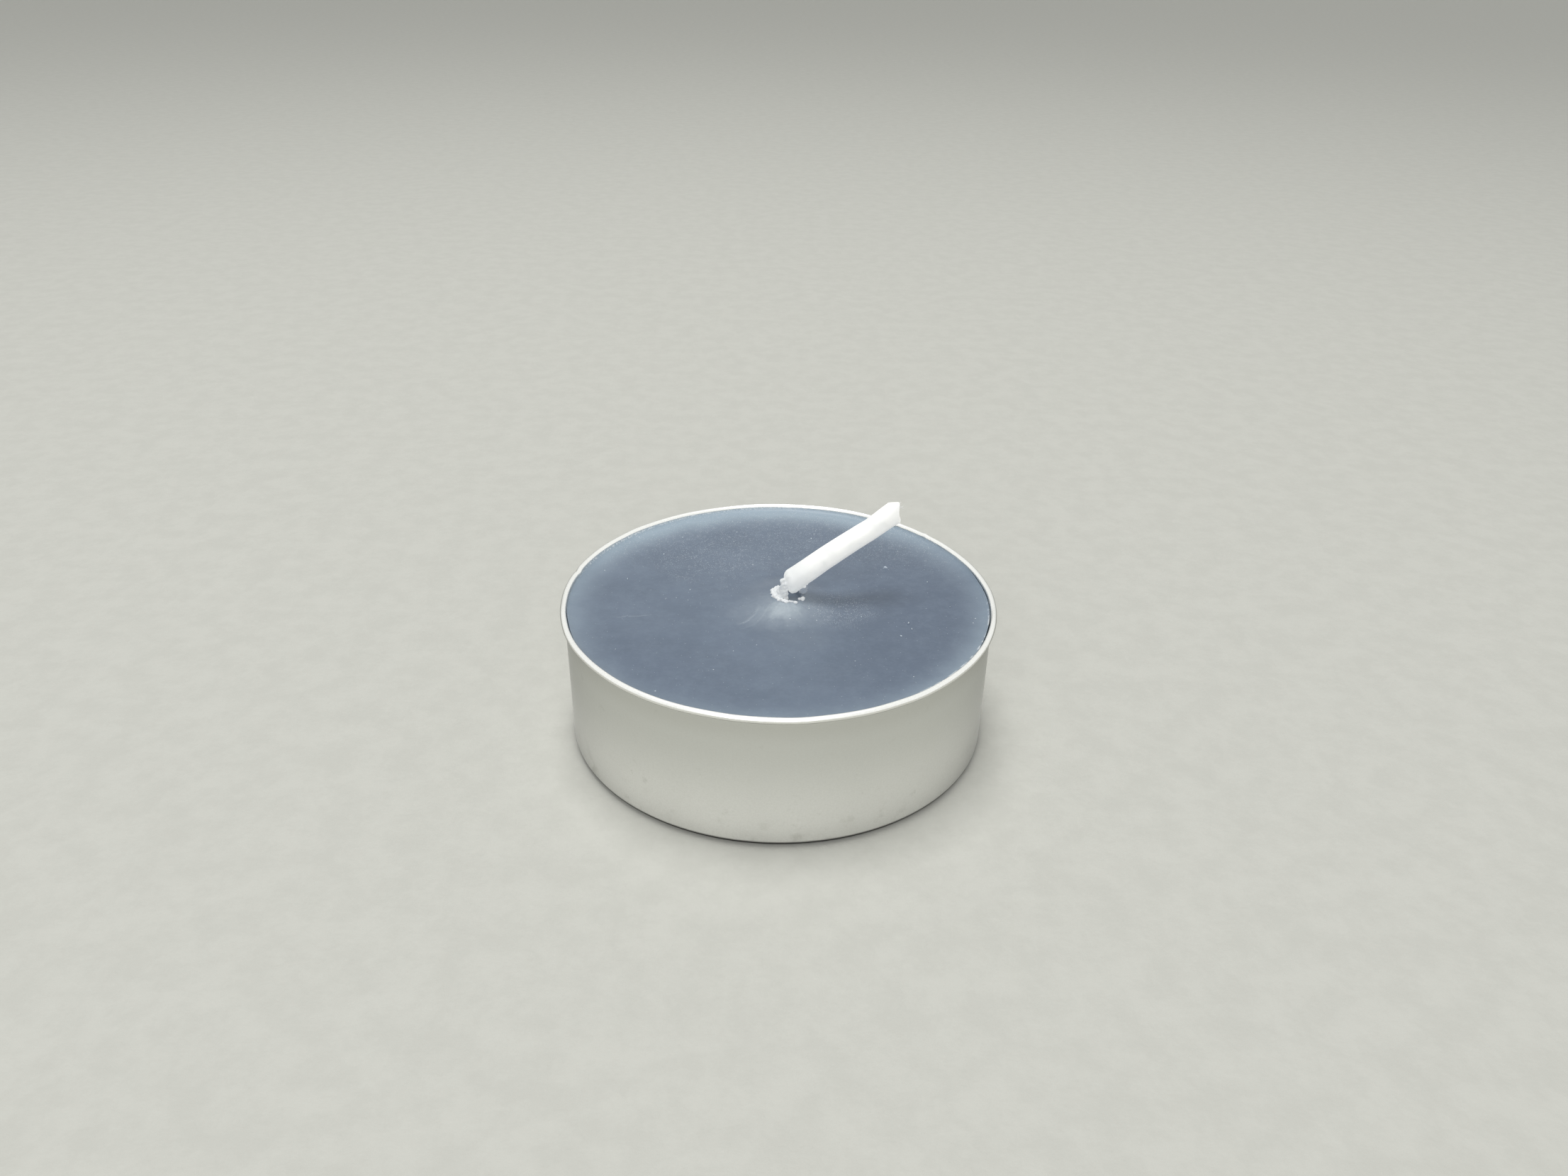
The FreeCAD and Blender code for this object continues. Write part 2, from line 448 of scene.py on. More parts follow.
class Shader(NodeBoard):
    """A node material with one Principled shader."""

    def __init__(self, name: str) -> None:
        """Makes an empty material with its shader and output.

        Args:
            name: The material's name.
        """
        self.material = bpy.data.materials.new(name)
        self.material.use_nodes = True
        super().__init__(self.material.node_tree)
        self.tree.nodes.clear()
        self.surface = self.tree.nodes.new("ShaderNodeBsdfPrincipled")
        output = self.tree.nodes.new("ShaderNodeOutputMaterial")
        self.tree.links.new(self.surface.outputs["BSDF"], output.inputs["Surface"])

    def place(self) -> Signal:
        """The shaded point's place in the row frame, in millimetres."""
        at = self.node("ShaderNodeTexCoord", {}, {}, "Object")
        return self.node("ShaderNodeVectorMath", {"operation": "SCALE"}, {0: at, "Scale": 1 / MM})

    def split(self, vector: Signal) -> tuple[Signal, Signal, Signal]:
        """Splits a vector.

        Args:
            vector: What is split.

        Returns:
            Its parts along x, y and z.
        """
        parts = self.node("ShaderNodeSeparateXYZ", {}, {"Vector": vector})
        outputs = parts.socket.node.outputs
        return Signal(self, outputs[0]), Signal(self, outputs[1]), Signal(self, outputs[2])

    def vector(self, x: Signal | float, y: Signal | float, z: Signal | float) -> Signal:
        """A vector from its three parts."""
        return self.node("ShaderNodeCombineXYZ", {}, {"X": x, "Y": y, "Z": z})

    def noise(self, at: Signal, scale: float, detail: float = 2.0, rough: float = 0.5) -> Signal:
        """Soft noise from 0 to 1.

        Args:
            at: Where it is read.
            scale: Cells to the millimetre.
            detail: How many finer layers it has.
            rough: How strong they are.

        Returns:
            The noise.
        """
        sockets = {"Vector": at, "Scale": scale, "Detail": detail, "Roughness": rough}
        return self.node("ShaderNodeTexNoise", {}, sockets)

    def cells(self, at: Signal, scale: float) -> Signal:
        """How far the nearest of many scattered points lies, in cells."""
        return self.node("ShaderNodeTexVoronoi", {}, {"Vector": at, "Scale": scale}, "Distance")

    def mix(self, share: Signal, low: object, high: object) -> Signal:
        """Mixes two colours.

        Args:
            share: 0 gives the first colour and 1 the second.
            low: The first colour, or what gives it.
            high: The second colour, or what gives it.

        Returns:
            The mixed colour.
        """
        return self.node("ShaderNodeMix", {"data_type": "RGBA"}, {0: share, 6: low, 7: high}, 2)

    def far_from(self, at: Signal, spot: Sequence[float]) -> Signal:
        """Distance of a place from a spot, in millimetres."""
        sockets = {0: at, 1: tuple(spot)}
        return self.node("ShaderNodeVectorMath", {"operation": "DISTANCE"}, sockets, "Value")

    def steady(self, **values: object) -> None:
        """Sets sockets that are the same all over, named with underscores for spaces."""
        for name, value in values.items():
            self.surface.inputs[name.replace("_", " ")].default_value = value

    def feed(self, **signals: Signal) -> None:
        """Links sockets that vary, named with underscores for spaces."""
        for name, signal in signals.items():
            self.tree.links.new(signal.socket, self.surface.inputs[name.replace("_", " ")])

    def relief(self, height: Signal, depth: float) -> None:
        """Bumps the surface by a height.

        Args:
            height: The relief, from 0 to 1.
            depth: What 1 stands for, in millimetres.
        """
        bump = self.node("ShaderNodeBump", {}, {"Height": height, "Distance": depth * MM, "Strength": 1.0})
        self.feed(Normal=bump)


@dataclass(frozen=True)
class RolledFoil:
    """Satin drawn aluminium: fine draw lines up the wall, smudges and a few white specks, with painted shade
    under the bead and at the foot and a painted highlight on the bead.

    Attributes:
        metal: The wall's colour near the table.
        darker_tone: The wall's colour near the rim, a painted shade that darkens the wall towards the rim.
        bead: A painted highlight on the top and inner side of the rolled bead.
        foot: A painted contact shadow on the corner that stands on the table.
        smudge_and_shade: Finger marks and grime, and the painted shade under the bead and on the bead's inner
            side at the right.
        speck: White specks of wax.
        sheen: The middle of its roughness.
        glance: How much of a glancing reflection it keeps.
        bead_foot: Heights between which the rolled bead starts, in millimetres.
    """

    metal: tuple[int, int, int] = (243, 243, 241)
    darker_tone: tuple[int, int, int] = (216, 217, 213)
    bead: tuple[int, int, int] = (249, 249, 246)
    foot: tuple[int, int, int] = (52, 52, 51)
    smudge_and_shade: tuple[int, int, int] = (196, 196, 190)
    speck: tuple[int, int, int] = (245, 245, 242)
    sheen: float = 0.34
    glance: float = 0.62
    bead_foot: tuple[float, float] = (11.95, 12.1)

    def material(self) -> bpy.types.Material:
        """Makes the material.

        Returns:
            The material, which reads Object coordinates alone.
        """
        shader = Shader("satin_drawn_foil")
        at = shader.place()
        x, y, z = shader.split(at)

        # Draw lines up the wall, broad bands, smears, specks and the grime near the table.
        turn = x.math("ARCTAN2", y, x)
        wall = shader.vector(turn * 18.5, 0.0, z * 0.06)
        lines = shader.noise(wall, 5.0, 4.0, 0.6)
        bands = shader.noise(shader.vector(turn * 2.2, 0.0, z * 0.05), 1.0, 2.0)
        cloud = shader.noise(at, 0.22, 3.0)
        smears = shader.noise(at, 0.9, 4.0, 0.65).ease(0.6, 0.8) * cloud.ease(0.45, 0.6)
        specks = shader.cells(at, 0.35).ease(0.032, 0.020)
        low = z.ease(4.2, 0.6)
        grit = shader.noise(at, 7.0, 4.0, 0.65)
        grime = shader.noise(at, 0.55, 4.0, 0.6).ease(0.54, 0.72) * low

        # The wall from its foot to the rim, with painted shade that darkens it towards the rim and most of
        # all under the bead.
        colour = shader.mix(z.ease(1.0, 10.5), paint(*self.metal), paint(*self.darker_tone))
        shade_under_bead = z.ease(9.6, 11.2) * z.ease(12.3, 11.6)
        colour = shader.mix(shade_under_bead * 0.35, colour, paint(*self.smudge_and_shade))

        # A painted highlight on the bead's top and inner side, reaching further down at the front. On the
        # right the inner side takes painted shade instead, where the wax has shrunk from it.
        inner = (x * x + y * y) ** 0.5
        shrunk = x.ease(10.0, 15.0) * y.ease(-1.0, -4.0)
        lip = inner.ease(18.84, 18.70) * z.ease(11.96, 12.1)
        colour = shader.mix(lip * shrunk, colour, paint(*self.smudge_and_shade))
        bead_highlight = (z + y.ease(-2.0, -16.0) * 0.45).ease(12.52, 12.62).most(lip * (1 - shrunk))
        colour = shader.mix(bead_highlight, colour, paint(*self.bead))

        # Stains all over, a painted contact shadow on the corner that stands on the table, and the specks on
        # top.
        stain = smears * 0.45 + bands * 0.14 + grime * 0.35 + (grit - 0.5) * 0.5
        colour = shader.mix(stain, colour, paint(*self.smudge_and_shade))
        colour = shader.mix(z.ease(0.6, 0.3) * inner.ease(17.85, 18.15), colour, paint(*self.foot))
        shader.feed(Base_Color=shader.mix(specks, colour, paint(*self.speck)))
        shader.feed(Metallic=1 - specks)
        satin = lines * 0.08 + smears * 0.12 + bands * 0.06 + (self.sheen - 0.07) + specks * 0.3
        shader.feed(Roughness=satin - z.ease(*self.bead_foot) * 0.10)
        shader.steady(Specular_Tint=(self.glance, self.glance, self.glance, 1.0))
        shader.relief(lines * 0.5 + grit * 0.5 + bands * 0.9 + specks * 2.0, 0.012)
        return shader.material


@dataclass(frozen=True)
class PouredWax:
    """Blue-grey paraffin: paler at its edge, with a painted sheen at the back, a painted highlight over the
    mound, frost and white specks.

    Attributes:
        deep: The darker of its two main colours.
        middle: The paler of its two main colours.
        dark_tone_and_shade: Its colour in the painted shade on its right side, and where it is darker at the
            left front.
        edge: Its colour where it lies thin against the cup, and of the painted sheen that grows towards the
            back.
        pale_and_highlight: The painted highlight over the mound, and the paler folds and scratch.
        speck: Dust, frost, the dried film at the wall, and painted highlights along the edge at the right.
        mound: Middle of the painted highlight over the mound, in millimetres.
        faint_highlight_at: Middle of the faint painted highlight in front of the mound, in millimetres.
        fold: Middle of the arcs that the two folds follow, in millimetres.
        fold_radii: Radii of the two arcs, in millimetres.
        bloom_back: Middle of the frost at the back, in millimetres.
        bloom_right: Middle of the frost beside the wick's shadow, in millimetres.
        scratch: Middle of the scratch on the left, in millimetres.
        scratch_turn: The scratch's direction, in degrees from x.
        glow: How far light travels inside it, in millimetres.
    """

    deep: tuple[int, int, int] = (90, 103, 120)
    middle: tuple[int, int, int] = (98, 111, 128)
    dark_tone_and_shade: tuple[int, int, int] = (76, 89, 108)
    edge: tuple[int, int, int] = (146, 162, 175)
    pale_and_highlight: tuple[int, int, int] = (164, 174, 182)
    speck: tuple[int, int, int] = (226, 232, 236)
    mound: tuple[float, float] = (0.6, -1.85)
    faint_highlight_at: tuple[float, float, float] = (1.8, -5.0, 0.0)
    fold: tuple[float, float] = (-5.6, -0.6)
    fold_radii: tuple[float, float] = (3.96, 4.72)
    bloom_back: tuple[float, float, float] = (-6.0, 9.5, 11.8)
    bloom_right: tuple[float, float, float] = (5.5, -0.9, 11.8)
    scratch: tuple[float, float, float] = (-12.5, -3.0, 11.8)
    scratch_turn: float = 13.3
    glow: float = 0.6

    def material(self) -> bpy.types.Material:
        """Makes the material.

        Returns:
            The material, which reads Object coordinates alone.
        """
        shader = Shader("blue_grey_paraffin")
        at = shader.place()
        x, y, _ = shader.split(at)
        out = (x * x + y * y) ** 0.5
        wander = shader.noise(at, 0.35, 3.0) - 0.5
        mottle = shader.noise(at, 0.16, 4.0, 0.55)
        fine = shader.noise(at, 3.2, 4.0, 0.6)

        # Paler where it lies thin against the cup, with a painted sheen that makes it paler still towards the
        # back, most of all at the back left.
        back = y.ease(-6.0, 17.0)
        rim = (out + back * 1.3 + wander * 1.2).ease(14.6, 20.6) ** 1.45
        far_right = x.ease(7.0, 13.0) * y.ease(-2.0, 6.0)
        near_right = x.ease(2.0, 12.0) * y.ease(0.0, -8.0)
        near_left = x.ease(-3.0, -11.0) * y.ease(-4.0, -10.0)
        rim = rim * (y.ease(2.0, 18.0) * 0.6 + 0.8 - far_right * 0.4 + near_right * 0.3 - near_left * 0.3)

        # A dried film at the wall at the back left, and thin painted highlights along the edge at the right.
        film = out.ease(18.26, 18.42) * y.ease(1.0, 8.0) * x.ease(6.0, -6.0)
        film = film * shader.noise(at, 5.0, 4.0, 0.7).ease(0.44, 0.6)
        lip = out + y.ease(-3.0, -17.0) * 0.42
        curl = lip.ease(18.24, 18.34) * x.ease(6.0, 9.0) * y.ease(2.0, -4.0)
        curl = curl * shader.noise(at, 1.1, 4.0, 0.6).ease(0.46, 0.58)

        # The wax itself, with painted shade on its right side, and darker at the left front.
        colour = shader.mix(mottle.ease(0.3, 0.7), paint(*self.deep), paint(*self.middle))
        right = x.ease(1.0, 12.0) * y.ease(13.0, 2.0) * 0.6
        colour = shader.mix(right.most(near_left * 0.35), colour, paint(*self.dark_tone_and_shade))
        colour = shader.mix(rim, colour, paint(*self.edge))
        cloud = shader.noise(at, 0.9, 4.0, 0.65) - 0.5
        colour = shader.mix(cloud * 0.36 + fine * 0.18 - 0.06, colour, paint(*self.edge))
        colour = shader.mix((film * 0.6).most(curl * 0.6), colour, paint(*self.speck))

        # Painted highlight over the front of the mound, with streaks that fan out from the wick, and a faint
        # one in front of it.
        beside = (x - self.mound[0] + wander * 1.2) / (x.ease(-0.6, 1.4) * -0.3 + 2.3)
        below = (y - self.mound[1] + wander * 0.8) / 1.6
        off = (beside * beside + below * below) ** 0.5 + (shader.noise(at, 1.1, 3.0) - 0.5) * 0.7
        from_foot = y - self.mound[1] - 2.2
        fan = from_foot.math("ARCTAN2", from_foot, x - self.mound[0])
        streaks = shader.noise(shader.vector(fan * 2.6, off * 0.25, 0.0), 1.6, 4.0, 0.6)
        mound_highlight = (off.ease(2.7, 0.2) * 0.5 + off.ease(1.1, 0.0) * 0.55) * (streaks * 0.9 + fine * 0.5 + 0.25)
        glow = shader.far_from(shader.vector(x, y, 0.0), self.faint_highlight_at).ease(4.5, 0.5) * 0.12
        colour = shader.mix(mound_highlight.most(glow), colour, paint(*self.pale_and_highlight))

        # Paler along the two folds.
        from_fold = shader.far_from(shader.vector(x, y, 0.0), (*self.fold, 0.0)) + wander * 0.5
        first = (from_fold - self.fold_radii[0]).away().ease(0.17, 0.03)
        second = (from_fold - self.fold_radii[1]).away().ease(0.16, 0.02) * 0.45
        below_fold = y - self.fold[1]
        bearing = below_fold.math("ARCTAN2", below_fold, x - self.fold[0])
        fold = first.most(second) * bearing.ease(-1.12, -0.88) * bearing.ease(-0.12, -0.35)
        colour = shader.mix(fold * streaks.ease(0.3, 0.6) * 0.4, colour, paint(*self.pale_and_highlight))

        # Frost at the back and beside the wick's shadow, then dust and single motes all over.
        frost_back = (shader.far_from(at, self.bloom_back) + wander * 6.0).ease(9.0, 2.0)
        frost_right = (shader.far_from(at, self.bloom_right) + wander * 2.0).ease(4.2, 1.0)
        frost = (frost_back * 0.8).most(frost_right).most(y.ease(3.0, 12.0) * 0.7)
        grains = shader.cells(at, 8.5).ease(0.46, 0.14) * shader.noise(at, 2.2, 4.0, 0.7).ease(0.38, 0.62)
        colour = shader.mix(frost * grains * 0.44 + frost * 0.03, colour, paint(*self.speck))
        dust = shader.cells(at, 2.1).ease(0.11, 0.05) * shader.noise(at, 0.5, 2.0).ease(0.38, 0.56)
        motes = shader.cells(at, 0.62).ease(0.045, 0.024)
        colour = shader.mix(dust * (frost * 0.3 + 0.28) + motes * 0.6, colour, paint(*self.speck))

        # One short scratch on the left.
        slope = math.radians(self.scratch_turn)
        along = (x - self.scratch[0]) * math.cos(slope) + (y - self.scratch[1]) * math.sin(slope)
        across = (y - self.scratch[1]) * math.cos(slope) - (x - self.scratch[0]) * math.sin(slope)
        scratch = (across + wander * 0.5).away().ease(0.22, 0.02) * along.away().ease(1.9, 0.9)
        scratch = scratch * fine.ease(0.3, 0.6)
        colour = shader.mix(scratch * 0.2, colour, paint(*self.pale_and_highlight))

        shader.feed(Base_Color=colour)
        shader.feed(Roughness=fine * 0.10 + frost * 0.14 + mottle * 0.08 + 0.30 - rim * 0.08)
        relief = fine * 0.25 + mottle * 0.6 + grains * frost * 0.5 + dust * 0.8 + scratch * 0.3
        shader.relief(relief + shader.noise(at, 12.0, 2.0) * 0.10, 0.035)
        shader.steady(
            Subsurface_Weight=0.12, Subsurface_Radius=(0.6, 0.8, 1.0), Subsurface_Scale=self.glow * MM)
        shader.steady(IOR=WAX_IOR, Specular_IOR_Level=0.45)
        return shader.material


@dataclass(frozen=True)
class WhiteWax:
    """White candle wax: soft, a little waxy and slightly uneven, with a painted glow.

    Attributes:
        name: The material's name.
        light: Its main colour.
        shade: The colour of its thinner and dirtier places.
        cell: Size of its unevenness, in cells to the millimetre.
        depth: How deep its bumps are, in millimetres.
        sheen: Its roughness.
        glow: How far light travels inside it, in millimetres.
        painted_glow: How strongly it glows by itself, as a share of its colour: a painted glow that stands in
            for light passing through it.
        greyer: From which x its shade gives way to its main colour, and where that ends, in millimetres.
    """

    name: str
    light: tuple[int, int, int]
    shade: tuple[int, int, int]
    cell: float
    depth: float
    sheen: float
    glow: float
    painted_glow: float
    greyer: tuple[float, float] = (-90.0, -80.0)

    def material(self) -> bpy.types.Material:
        """Makes the material.

        Returns:
            The material, which reads Object coordinates alone.
        """
        shader = Shader(self.name)
        at = shader.place()
        wide = shader.noise(at, self.cell, 3.0)
        fine = shader.noise(at, self.cell * 5.0, 3.0, 0.6)
        x, _, _ = shader.split(at)
        grey = x.ease(self.greyer[1], self.greyer[0]) * 0.8
        share = grey.most(wide.ease(0.45, 0.75) * 0.6) + fine * 0.1
        colour = shader.mix(share, paint(*self.light), paint(*self.shade))
        # Its colour also feeds a painted glow, which lights it by itself in place of light passing through
        # it.
        shader.feed(Base_Color=colour, Emission_Color=colour)
        shader.feed(Roughness=fine * 0.12 + (self.sheen - 0.06))
        shader.relief(wide * 0.8 + fine * 0.25, self.depth)
        shader.steady(
            Subsurface_Weight=0.6, Subsurface_Radius=(1.0, 0.96, 0.9), Subsurface_Scale=self.glow * MM)
        shader.steady(IOR=WAX_IOR, Emission_Strength=self.painted_glow)
        return shader.material


@dataclass(frozen=True)
class CottonBraid:
    """Cotton yarn soaked with wax: fibres run along each strand.

    Attributes:
        yarn: Its main colour.
        hollow: Its colour between the fibres.
    """

    yarn: tuple[int, int, int] = (240, 241, 240)
    hollow: tuple[int, int, int] = (206, 211, 216)

    def material(self) -> bpy.types.Material:
        """Makes the material.

        Returns:
            The material, which reads Object coordinates alone.
        """
        shader = Shader("waxed_cotton_yarn")
        at = shader.place()
        x, y, z = shader.split(at)
        fibres = shader.noise(shader.vector(x * 3.0, y * 3.0, z * 0.7), 4.0, 4.0, 0.65)
        shader.feed(Base_Color=shader.mix(fibres.ease(0.4, 0.7), paint(*self.yarn), paint(*self.hollow)))
        shader.feed(Roughness=fibres * 0.2 + 0.55)
        shader.relief(fibres, 0.03)
        return shader.material


@dataclass(frozen=True)
class ClipSteel:
    """Bright pressed steel with fine grain.

    Attributes:
        metal: Its main colour.
        dull: Its duller patches.
    """

    metal: tuple[int, int, int] = (200, 202, 204)
    dull: tuple[int, int, int] = (160, 162, 165)

    def material(self) -> bpy.types.Material:
        """Makes the material.

        Returns:
            The material, which reads Object coordinates alone.
        """
        shader = Shader("pressed_clip_steel")
        at = shader.place()
        brushed = shader.noise(at, 2.4, 4.0, 0.6)
        shader.feed(Base_Color=shader.mix(brushed.ease(0.35, 0.7), paint(*self.metal), paint(*self.dull)))
        shader.feed(Roughness=brushed * 0.2 + 0.22)
        shader.relief(brushed, 0.01)
        shader.steady(Metallic=1.0)
        return shader.material


@dataclass(frozen=True)
class TableTop:
    """Plain pale painted table.

    Attributes:
        colour: Its main colour.
        darker_tone: Its slightly darker patches.
    """

    colour: tuple[int, int, int] = (196, 196, 189)
    darker_tone: tuple[int, int, int] = (191, 191, 184)

    def material(self) -> bpy.types.Material:
        """Makes the material.

        Returns:
            The material, which reads Object coordinates alone.
        """
        shader = Shader("pale_table")
        at = shader.place()
        cloud = shader.noise(at, 0.3, 6.0, 0.7)
        shader.feed(Base_Color=shader.mix(cloud.ease(0.35, 0.65), paint(*self.colour), paint(*self.darker_tone)))
        shader.relief(shader.noise(at, 1.6, 4.0, 0.6), 0.05)
        shader.steady(Roughness=0.75)
        return shader.material


@dataclass
class FoilCup:
    """The drawn cup: pressed floor, standing ring, straight wall, flare and rolled bead.

    Attributes:
        rim_radius: Outer radius over the bead, in millimetres, as are all the lengths.
        height: Top of the bead over the table.
        sheet: Thickness of the foil.
        bead_radius: Outer radius of the rolled bead's own section.
        bead_turn: How far the bead is rolled, in degrees.
        wall_middle: Radius of the straight wall, in the middle of the foil.
        flare_start: Where the wall starts to widen.
        corner: Radius of the corner between the wall and the standing ring.
        ring_width: How wide the standing ring is.
        panel_height: Middle of the foil in the raised floor.
        well_height: Middle of the foil in the well for the clip.
        well_radius: Radius of the well.
        waves: The wall's waviness: waves round the cup, their depth and their start.
        nick: Azimuth and width of the nick in the rim, in degrees.
        dints: Azimuth and width of each bump of the rim, in degrees.
        segments: Vertices round the cup.
        finish: The foil's looks.
    """

    rim_radius: float = 19.0
    height: float = 12.6
    sheet: float = 0.15
    bead_radius: float = 0.27
    bead_turn: float = 262.0
    wall_middle: float = 18.525
    flare_start: float = 10.33
    corner: float = 0.525
    ring_width: float = 1.575
    panel_height: float = 0.775
    well_height: float = 0.375
    well_radius: float = 6.95
    waves: tuple[tuple[int, float, float], ...] = ((2, 0.035, 0.7), (5, 0.018, 2.0), (11, 0.010, 0.0))
    nick: tuple[float, float] = (168.5, 1.1)
    dints: tuple[tuple[float, float], ...] = ((52.0, 0.9), (41.5, 0.8))
    segments: int = 288
    finish: RolledFoil = field(default_factory=RolledFoil)

    def section(self) -> list[tuple[float, float]]:
        """Draws the middle of the sheet, from near the axis to the rolled edge.

        Returns:
            Its points as (radius, height), in millimetres.
        """
        floor = self.sheet / 2
        curl = self.bead_radius - floor
        corner_middle = self.wall_middle - self.corner
        ring_inner = corner_middle - self.ring_width
        centre = (self.rim_radius - self.bead_radius, self.height - self.bead_radius)

        # The well, the raised floor and the standing ring, with short slopes between them.
        points = [(0.4, self.well_height), (self.well_radius - 0.1, self.well_height)]
        points += [(self.well_radius, self.well_height + 0.03)]
        points += [(self.well_radius + 0.3, self.panel_height - 0.03)]
        points += [(self.well_radius + 0.4, self.panel_height), (ring_inner - 0.62, self.panel_height)]
        points += [(ring_inner - 0.5, self.panel_height - 0.05), (ring_inner - 0.06, floor + 0.06)]
        points += [(ring_inner + 0.08, floor)]

        # The corner, the straight wall, the flare and the bead, which the flare meets without a kink.
        points += arc((corner_middle, floor + self.corner), self.corner, -90, 90, 8)
        wall = (2.0, 3.4, 4.8, 6.2, 7.6, 9.0, 9.7, self.flare_start)
        points += [(self.wall_middle, height) for height in wall]
        flare = (centre[0] - curl - self.wall_middle, centre[1] - self.flare_start)
        lean = math.degrees(math.atan2(flare[1], flare[0]))
        first = arc(centre, curl, lean + 90, -self.bead_turn, 22)
        rise = first[0][1] - self.flare_start
        widen = first[0][0] - self.wall_middle
        for share in (0.2, 0.4, 0.6, 0.8, 0.93):
            points.append((self.wall_middle + widen * share, self.flare_start + rise * share))
        return points + first

    def inside(self, height: float) -> float:
        """The wall's inside radius.

        Args:
            height: Where it is measured, at or above the straight part, in millimetres.

        Returns:
            The radius, in millimetres.
        """
        spread = (self.rim_radius - 2 * self.bead_radius + self.sheet / 2) - self.wall_middle
        share = max(0.0, (height - self.flare_start) / (self.height - self.bead_radius - self.flare_start))
        return self.wall_middle - self.sheet / 2 + spread * share

    def dented(self, place: Vector) -> Vector:
        """A point of the sheet with the cup's slight waviness, its rim's bumps and a nick.

        Args:
            place: The point of a perfect cup, in millimetres.

        Returns:
            The point moved, in millimetres.
        """
        around = math.degrees(math.atan2(place.y, place.x))
        up = smooth(place.z, 1.5, 11.0)
        turn = math.radians(around)
        wave = sum(depth * math.sin(count * turn + start) for count, depth, start in self.waves)
        rim = smooth(place.z, 11.6, 12.2)
        wave += rim * 0.030 * grain(math.cos(turn) * 7, math.sin(turn) * 7, 3.0)
        lift = rim * 0.035 * grain(math.cos(turn) * 5, math.sin(turn) * 5, 9.0)
        nick = rim * bump_at(angle_between(around, self.nick[0]), 0, self.nick[1])
        bumps = rim * sum(bump_at(angle_between(around, middle), 0, width) for middle, width in self.dints)
        wave -= 0.05 * bump_at(place.z, 11.1, 0.75)
        out = Vector((place.x, place.y, 0)).normalized()
        raised = Vector((0, 0, lift - 0.05 * nick + 0.05 * bumps))
        return place + out * (up * wave - 0.07 * nick + 0.04 * bumps) + raised

    def build(self) -> bpy.types.Object:
        """Makes and dresses the cup.

        Returns:
            The cup.
        """
        rings = [Ring(radius, height) for radius, height in self.section()]
        cup = Bench.loft("foil_cup", rings, self.segments, shut=False)
        Bench.sculpt(cup, self.dented)
        Bench.finish(cup, "SOLIDIFY", thickness=self.sheet * MM, offset=0.0, use_even_offset=True)
        Bench.soften(cup, 50)
        cup.data.materials.append(self.finish.material())
        return cup


